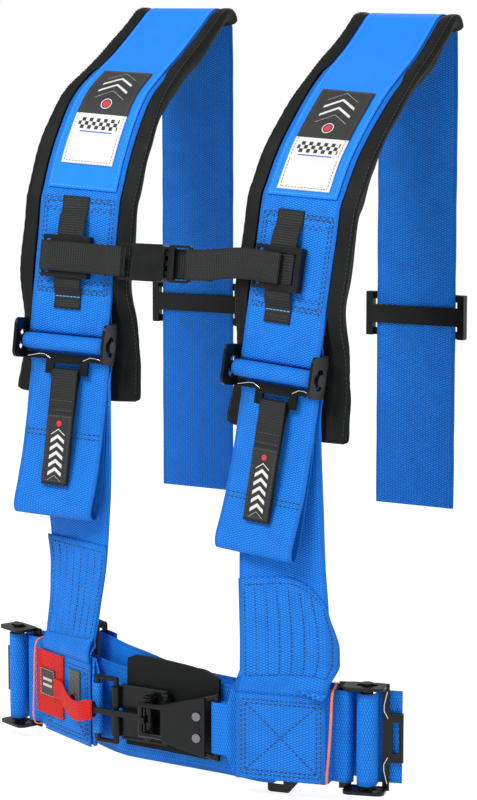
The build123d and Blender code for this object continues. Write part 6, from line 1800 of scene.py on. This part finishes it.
def pad(side):
    grid, uvs, q = pad_grid(side)
    count = len(q)
    o = outward(mesh_object(f"pad_{side}", grid.reshape(-1, 3), pad_faces(count),
                            uvs.reshape(-1, 2), PAD))
    mesh = o.data
    j = np.tile(np.arange(PAD_AROUND), count)
    row = np.repeat(np.arange(count), PAD_AROUND)
    s = q[row]
    channel = IN_CHANNEL[j]
    lip = (j >= CORNER[5]) & (j < CORNER[6]) | (j > CORNER[11]) & (j <= CORNER[12])
    sewn = (j == SEAMS[0]) | (j == SEAMS[1])
    ends = (row < 1) | (row >= count - 1)
    pin = np.where(channel | sewn | ends, 1.0, np.where(lip, 0.55, 0.0))
    # the sewn edge sits slightly in; the rest starts smaller and swells out
    shrink = np.where(sewn, 0.0016, np.where(channel, 0.0, 0.0009))
    set_positions(mesh, vertex_array(mesh, "co")
                  - vertex_array(mesh, "normal") * shrink[:, None])
    puff(o, pin)
    # puckers along the sewn edge and soft creases on the back and the foot
    positions, normals = vertex_array(mesh, "co"), vertex_array(mesh, "normal")
    from_seam = np.minimum(np.abs(j - SEAMS[0]), np.abs(j - SEAMS[1]))
    pucker = (0.55 * np.sin(s * 2 * math.pi / 9.5 + 1.3 * np.sin(s / 17.0))
              * np.exp(-(from_seam / 2.2) ** 2))
    crease = (0.45 * wobble(s / 13.0, j / 6.0, seed=61)
              + 0.35 * wobble(s / 5.0, j / 9.0, seed=62) * smooth(s, q[-1] * 0.72, q[-1]))
    amount = np.where(channel, 0.0, 1.0) * np.where(lip, 0.3, 1.0)
    relief = (pucker + crease - 0.25) * amount * 0.001
    positions = positions + normals * relief[:, None]
    set_positions(mesh, positions)
    subdivision = o.modifiers.new("sub", "SUBSURF")
    subdivision.levels = subdivision.render_levels = 1
    apply_modifier(o, "sub")
    settle(o, f"shoulder_pad_{side}", body="belts")
    # thread round the rim, laid on the finished cover
    points = positions.reshape(count, PAD_AROUND, 3) / 0.001 - SHIFT
    normals = normals.reshape(count, PAD_AROUND, 3)
    st = Stitches()
    for k in (SEAMS[0] + 2, SEAMS[1] - 2):
        normal = normals[3:-2, k]
        st.line(points[3:-2, k] + normal * 0.15, normal, pitch=3.8, radius=0.28, seed=int(k))
    st.build(f"stitch_pad_{side}", T_BLACK, "black_pad_fabric")


for side in SIDES:
    pad(side)


# ------------------------------------------------------------- small soft pieces
def soft_copy(node, name, material, bevel, cell, uv, ripple=0.0, seed=0):
    """A piece shaped from the CAD node: cut into cells, soft edges, slightly uneven."""
    mesh = CAD[node].data.copy()
    mesh.name = name
    o = bpy.data.objects.new(name, mesh)
    scene.collection.objects.link(o)
    if "custom_normal" in mesh.attributes:
        mesh.attributes.remove(mesh.attributes["custom_normal"])
    bm = bmesh.new()
    bm.from_mesh(mesh)
    bmesh.ops.remove_doubles(bm, verts=bm.verts, dist=2e-5)
    bmesh.ops.dissolve_limit(bm, angle_limit=math.radians(1.0), verts=bm.verts,
                             edges=bm.edges)
    for axis in range(3):
        low = min(v.co[axis] for v in bm.verts)
        high = max(v.co[axis] for v in bm.verts)
        cuts = int((high - low) * 1000 / cell)
        normal = [0, 0, 0]
        normal[axis] = 1
        for i in range(1, cuts + 1):
            place = [0, 0, 0]
            place[axis] = low + (high - low) * i / (cuts + 1)
            bmesh.ops.bisect_plane(bm, geom=bm.verts[:] + bm.edges[:] + bm.faces[:],
                                   plane_co=place, plane_no=normal, dist=1e-6)
    bmesh.ops.recalc_face_normals(bm, faces=bm.faces)
    bm.to_mesh(mesh)
    bm.free()
    mesh.materials.clear()
    mesh.materials.append(material)
    mesh.polygons.foreach_set("material_index", np.zeros(len(mesh.polygons), np.int32))
    soft = o.modifiers.new("soft", "BEVEL")
    soft.width = bevel * 0.001
    soft.segments = 3
    soft.limit_method = "ANGLE"
    soft.angle_limit = math.radians(35)
    apply_modifier(o, "soft")
    mesh = o.data
    if ripple:
        for v in mesh.vertices:
            c = v.co * 1000
            wave = float(wobble(c.x / 7.0, c.y / 7.0, c.z / 7.0, seed=seed))
            v.co += v.normal * 0.001 * ripple * wave
    uv_map = mesh.uv_layers.get("mm") or mesh.uv_layers.new(name="mm")
    for loop in mesh.loops:
        corner = np.array(mesh.vertices[loop.vertex_index].co) * 1000 - SHIFT
        uv_map.data[loop.index].uv = uv(corner)
    mesh.polygons.foreach_set("use_smooth", np.ones(len(mesh.polygons), bool))
    mesh.update()
    settle(o, node, body="belts")


def front_uv(c):
    return float(c[0]), float(c[2])


def base_uv(c):
    return float(c[2]) + 249.0, float(c[0])


def badge_uv(c):
    return float(c[0] - BADGE_CENTRE[0]), float(c[2] - BADGE_CENTRE[2])


BADGE_CENTRE = centre_mm("release_strap_badge") - SHIFT
soft_copy("latch_backing_pad", "backing_pad", PAD,
          bevel=1.1, cell=6, uv=front_uv, ripple=0.25, seed=5)
soft_copy("release_strap_base", "release_base", RED_WEB,
          bevel=0.5, cell=5, uv=base_uv, ripple=0.1, seed=6)
soft_copy("release_strap_badge", "release_badge", BADGE,
          bevel=0.3, cell=4, uv=badge_uv)
soft_copy("hook_loop_patch", "hook_patch", FELT,
          bevel=0.35, cell=3, uv=front_uv, ripple=0.12, seed=8)


def elastic_band(side):
    """Squarish rubber loop round the lap belt, leaning along it towards the bottom or top."""
    node = f"rubber_band_{side}"
    stations, around = 150, 10
    corner_power = 0.30
    source = np.array([v.co for v in CAD[node].data.vertices]) * 1000 - SHIFT
    centre = source.mean(axis=0)
    along = np.array(LAP_ADJUSTER[side]["along"])
    out = np.array(LAP_ADJUSTER[side]["out"])
    lean = {"left": 1.0, "right": -1.0}[side]
    depth = (source - centre) @ out
    half_z = float((source[:, 2].max() - source[:, 2].min()) / 2) - 0.6
    half_out = float((depth.max() - depth.min()) / 2) - 0.65
    middle = float((depth.max() + depth.min()) / 2)
    ring = []
    for k in range(stations):
        c, s = (f(2 * math.pi * k / stations) for f in (math.cos, math.sin))
        u = math.copysign(abs(c) ** corner_power, c) * half_out
        z = math.copysign(abs(s) ** corner_power, s) * half_z
        # leans more on the outer run, with a lazy bow
        drift = (2.4 * (z / half_z) * (1 if c > 0 else 0.4)
                 + 1.0 * math.cos(z / half_z * 1.5))
        ring.append(centre + out * (middle + u) + np.array(Z_AXIS) * z
                    + along * drift * lean)
    ring = np.array(ring)
    tangents = unit(np.roll(ring, -1, axis=0) - np.roll(ring, 1, axis=0))
    verts, faces, uvs = [], [], []
    for k in range(stations):
        thin = unit(np.cross(tangents[k], along))
        wide = unit(np.cross(thin, tangents[k]))
        radius = 0.78 + 0.05 * math.sin(k * 0.9) + 0.04 * math.sin(k * 0.37)
        for m in range(around):
            a = 2 * math.pi * m / around
            verts.append(ring[k] + thin * math.cos(a) * radius * 0.8
                         + wide * math.sin(a) * radius * 1.35)
            uvs.append((m * 0.5, k * 1.6))
    for k in range(stations):
        low, high = k * around, (k + 1) % stations * around
        for m in range(around):
            n = (m + 1) % around
            faces.append((low + m, low + n, high + n, high + m))
    o = outward(mesh_object(f"elastic_band_{side}", np.array(verts), faces, uvs, RUBBER))
    settle(o, node, body="belts")


for side in SIDES:
    elastic_band(side)


def release_tape():
    """Red tape, from its base to the latch lever."""
    belt = Belt(RELEASE_LINE, Z_AXIS, 17.0, TAPE_FACES)
    o = strap("release_tape", belt, RED_WEB, wave=0.35, seed=71, segments=10)
    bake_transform(o)
    settle(o, "release_strap")


release_tape()

# Plane of the red base: it is turned about Z and faces forwards
BASE_POINT = np.array([-114.0, -91.3, 0.0])
BASE_TURN = math.radians(24)
BASE_ACROSS = np.array([math.cos(BASE_TURN), -math.sin(BASE_TURN), 0.0])
BASE_OUT = np.array([-math.sin(BASE_TURN), -math.cos(BASE_TURN), 0.0])


def on_base(x, z, out):
    p = BASE_POINT + BASE_ACROSS * ((x - BASE_POINT[0]) / BASE_ACROSS[0]) + BASE_OUT * out
    return np.array([p[0], p[1], z])


def base_box(st, x0, x1, z0, z1, out, pitch, radius, seed):
    corners = [(x0, z0), (x1, z0), (x1, z1), (x0, z1), (x0, z0)]
    points = [on_base(x, z, out) for x, z in corners]
    for ends in zip(points, points[1:]):
        st.line(ends, [BASE_OUT, BASE_OUT], pitch=pitch, radius=radius, seed=seed)


st = Stitches()
for inset in (0.0, 3.0):
    base_box(st, -157.0 + inset, -121.0 - inset, -274.5 + inset, -223.5 - inset, out=4.45,
             pitch=3.0, radius=0.27, seed=int(inset) + 2)
T_RED = thread("thread_red", dark=(0.25, 0.004, 0.003), bright=(0.7, 0.03, 0.02))
st.build("stitch_release", T_RED, "red_webbing")
st = Stitches()
base_box(st, -151.2, -130.8, -259.2, -236.8, out=5.45, pitch=2.6, radius=0.2, seed=3)
st.build("stitch_badge", T_WHITE, "label_fabric")


def chest_tail():
    """Folded end of the right chest belt, lying behind the buckle window."""
    # across and out in the buckle frame
    places = [(15.5, -4.1), (20.0, -4.7), (27.0, -5.2), (36.0, -5.5), (44.0, -5.1),
              (50.0, -4.2), (57.0, -3.5)]
    line = [BUCKLE["origin"] + BUCKLE["x"] * x + BUCKLE["z"] * z for x, z in places]
    belt = Belt(line, BUCKLE["y"], TAPE_WIDTH, (-0.6, 0.6), step=2.0)
    o = strap("chest_tail_right", belt, BLACK_WEB, wave=0.04, seed=61, segments=8)
    settle(o, body="chest_strap")


chest_tail()


# ------------------------------------------------------------------- hard parts
def finish_hard(name, material, edge=0.45):
    """New material and, where an edge width in mm is given, rounded edges."""
    o = CAD[name]
    mesh = o.data
    mesh.materials.clear()
    mesh.materials.append(material)
    if "custom_normal" in mesh.attributes:
        mesh.attributes.remove(mesh.attributes["custom_normal"])
    mesh.polygons.foreach_set("use_smooth", np.ones(len(mesh.polygons), bool))
    if edge is None:
        return
    weld = o.modifiers.new("weld", "WELD")
    weld.merge_threshold = 1e-5
    bevel = o.modifiers.new("edges", "BEVEL")
    bevel.width = edge * 0.001
    bevel.segments = 3
    bevel.limit_method = "ANGLE"
    bevel.angle_limit = math.radians(32)
    bevel.use_clamp_overlap = True
    bevel.harden_normals = True


for side in SIDES:
    for adjuster in (f"adjuster_{side}", f"lap_adjuster_{side}"):
        finish_hard(f"{adjuster}_frame", STEEL_BLACK)
        finish_hard(f"{adjuster}_bar", STEEL_BLACK)
        finish_hard(f"{adjuster}_springs", CHROME, edge=None)
    finish_hard(f"chest_slider_{side}", PLASTIC, edge=0.5)
    finish_hard(f"anchor_plate_{side}", STEEL_BLACK)
    finish_hard(f"rear_slide_{side}", STEEL_BLACK, edge=0.5)
for name, edge in (("socket", 0.9), ("tongue", 0.7), ("prong_upper", 0.6),
                   ("prong_lower", 0.6)):
    finish_hard(f"buckle_{name}", PLASTIC, edge)
for name in ("latch_plate", "latch_keeper_bar", "latch_pivot_pin", "latch_lever",
             "lap_web_ring", "link_frame", "link_plate"):
    finish_hard(name, STEEL_BLACK)
finish_hard("link_rivets", RIVET, edge=0.6)
finish_hard("strap_snap", CHROME, edge=0.9)


# ------------------------------------------------------------------------ stage
def add_floor():
    """Pale, faintly glowing square, in metres, just under the product's origin."""
    half, z = 9, -0.0012
    mesh = bpy.data.meshes.new("floor")
    mesh.from_pydata([(-half, -half, z), (half, -half, z), (half, half, z),
                      (-half, half, z)], [], [(0, 1, 2, 3)])
    floor = bpy.data.objects.new("floor", mesh)
    scene.collection.objects.link(floor)
    m = Shader("floor_pale")
    tone = m.noise(m.object_coords(), scale=3.0)
    m.finish(color=m.mix(tone, (0.34, 0.34, 0.34), (0.36, 0.36, 0.36)), rough=0.9, spec=0.1)
    m.principled.inputs["Emission Color"].default_value = (1.0, 1.0, 1.0, 1.0)
    m.principled.inputs["Emission Strength"].default_value = 0.86
    mesh.materials.append(m.material)


def add_world():
    """White surroundings: full strength for the camera, dimmer as a light."""
    world = bpy.data.worlds.new("studio")
    scene.world = world
    world.use_nodes = True
    tree = world.node_tree
    background = tree.nodes["Background"]
    path = tree.nodes.new("ShaderNodeLightPath")
    strength = tree.nodes.new("ShaderNodeMapRange")
    tree.links.new(path.outputs["Is Camera Ray"], strength.inputs[0])
    strength.inputs[3].default_value, strength.inputs[4].default_value = 0.40, 1.0
    tree.links.new(strength.outputs[0], background.inputs[1])
    background.inputs[0].default_value = (1.0, 1.0, 1.0, 1.0)


TARGET = Vector(to_metres((0.0, 0.0, 0.0)))


def aim(o, azimuth, elevation, distance):
    """Place an object round the target and turn it to face it; angles in degrees."""
    a, e = math.radians(azimuth), math.radians(elevation)
    toward = Vector((math.sin(a) * math.cos(e), -math.cos(a) * math.cos(e), math.sin(e)))
    o.location = TARGET + toward * distance
    o.rotation_euler = (TARGET - o.location).to_track_quat("-Z", "Y").to_euler()
    scene.collection.objects.link(o)


def area_light(name, azimuth, elevation, distance, size, power):
    light = bpy.data.lights.new(name, "AREA")
    light.shape = "RECTANGLE"
    light.size, light.size_y = size
    light.energy = power
    light.color = (1, 1, 1)
    o = bpy.data.objects.new(name, light)
    aim(o, azimuth, elevation, distance)


add_floor()
add_world()
area_light("key", azimuth=-15.0, elevation=45.0, distance=2.2, size=(0.9, 0.8), power=38.0)
area_light("fill", azimuth=85.0, elevation=20.0, distance=2.6, size=(1.2, 1.2), power=13.0)
area_light("rim", azimuth=190.0, elevation=40.0, distance=2.4, size=(1.6, 0.8), power=18.0)
area_light("strip", azimuth=32.0, elevation=-4.0, distance=2.6, size=(0.4, 1.6), power=4.0)

camera = bpy.data.cameras.new("view")
camera.lens = 115.83
camera.sensor_width = 36.0
camera.clip_end = 50.0
view = bpy.data.objects.new("view", camera)
aim(view, azimuth=32.0, elevation=7.5, distance=2.2)
scene.camera = view
scene.view_settings.view_transform = "Standard"
scene.view_settings.look = "None"

bpy.context.view_layer.update()
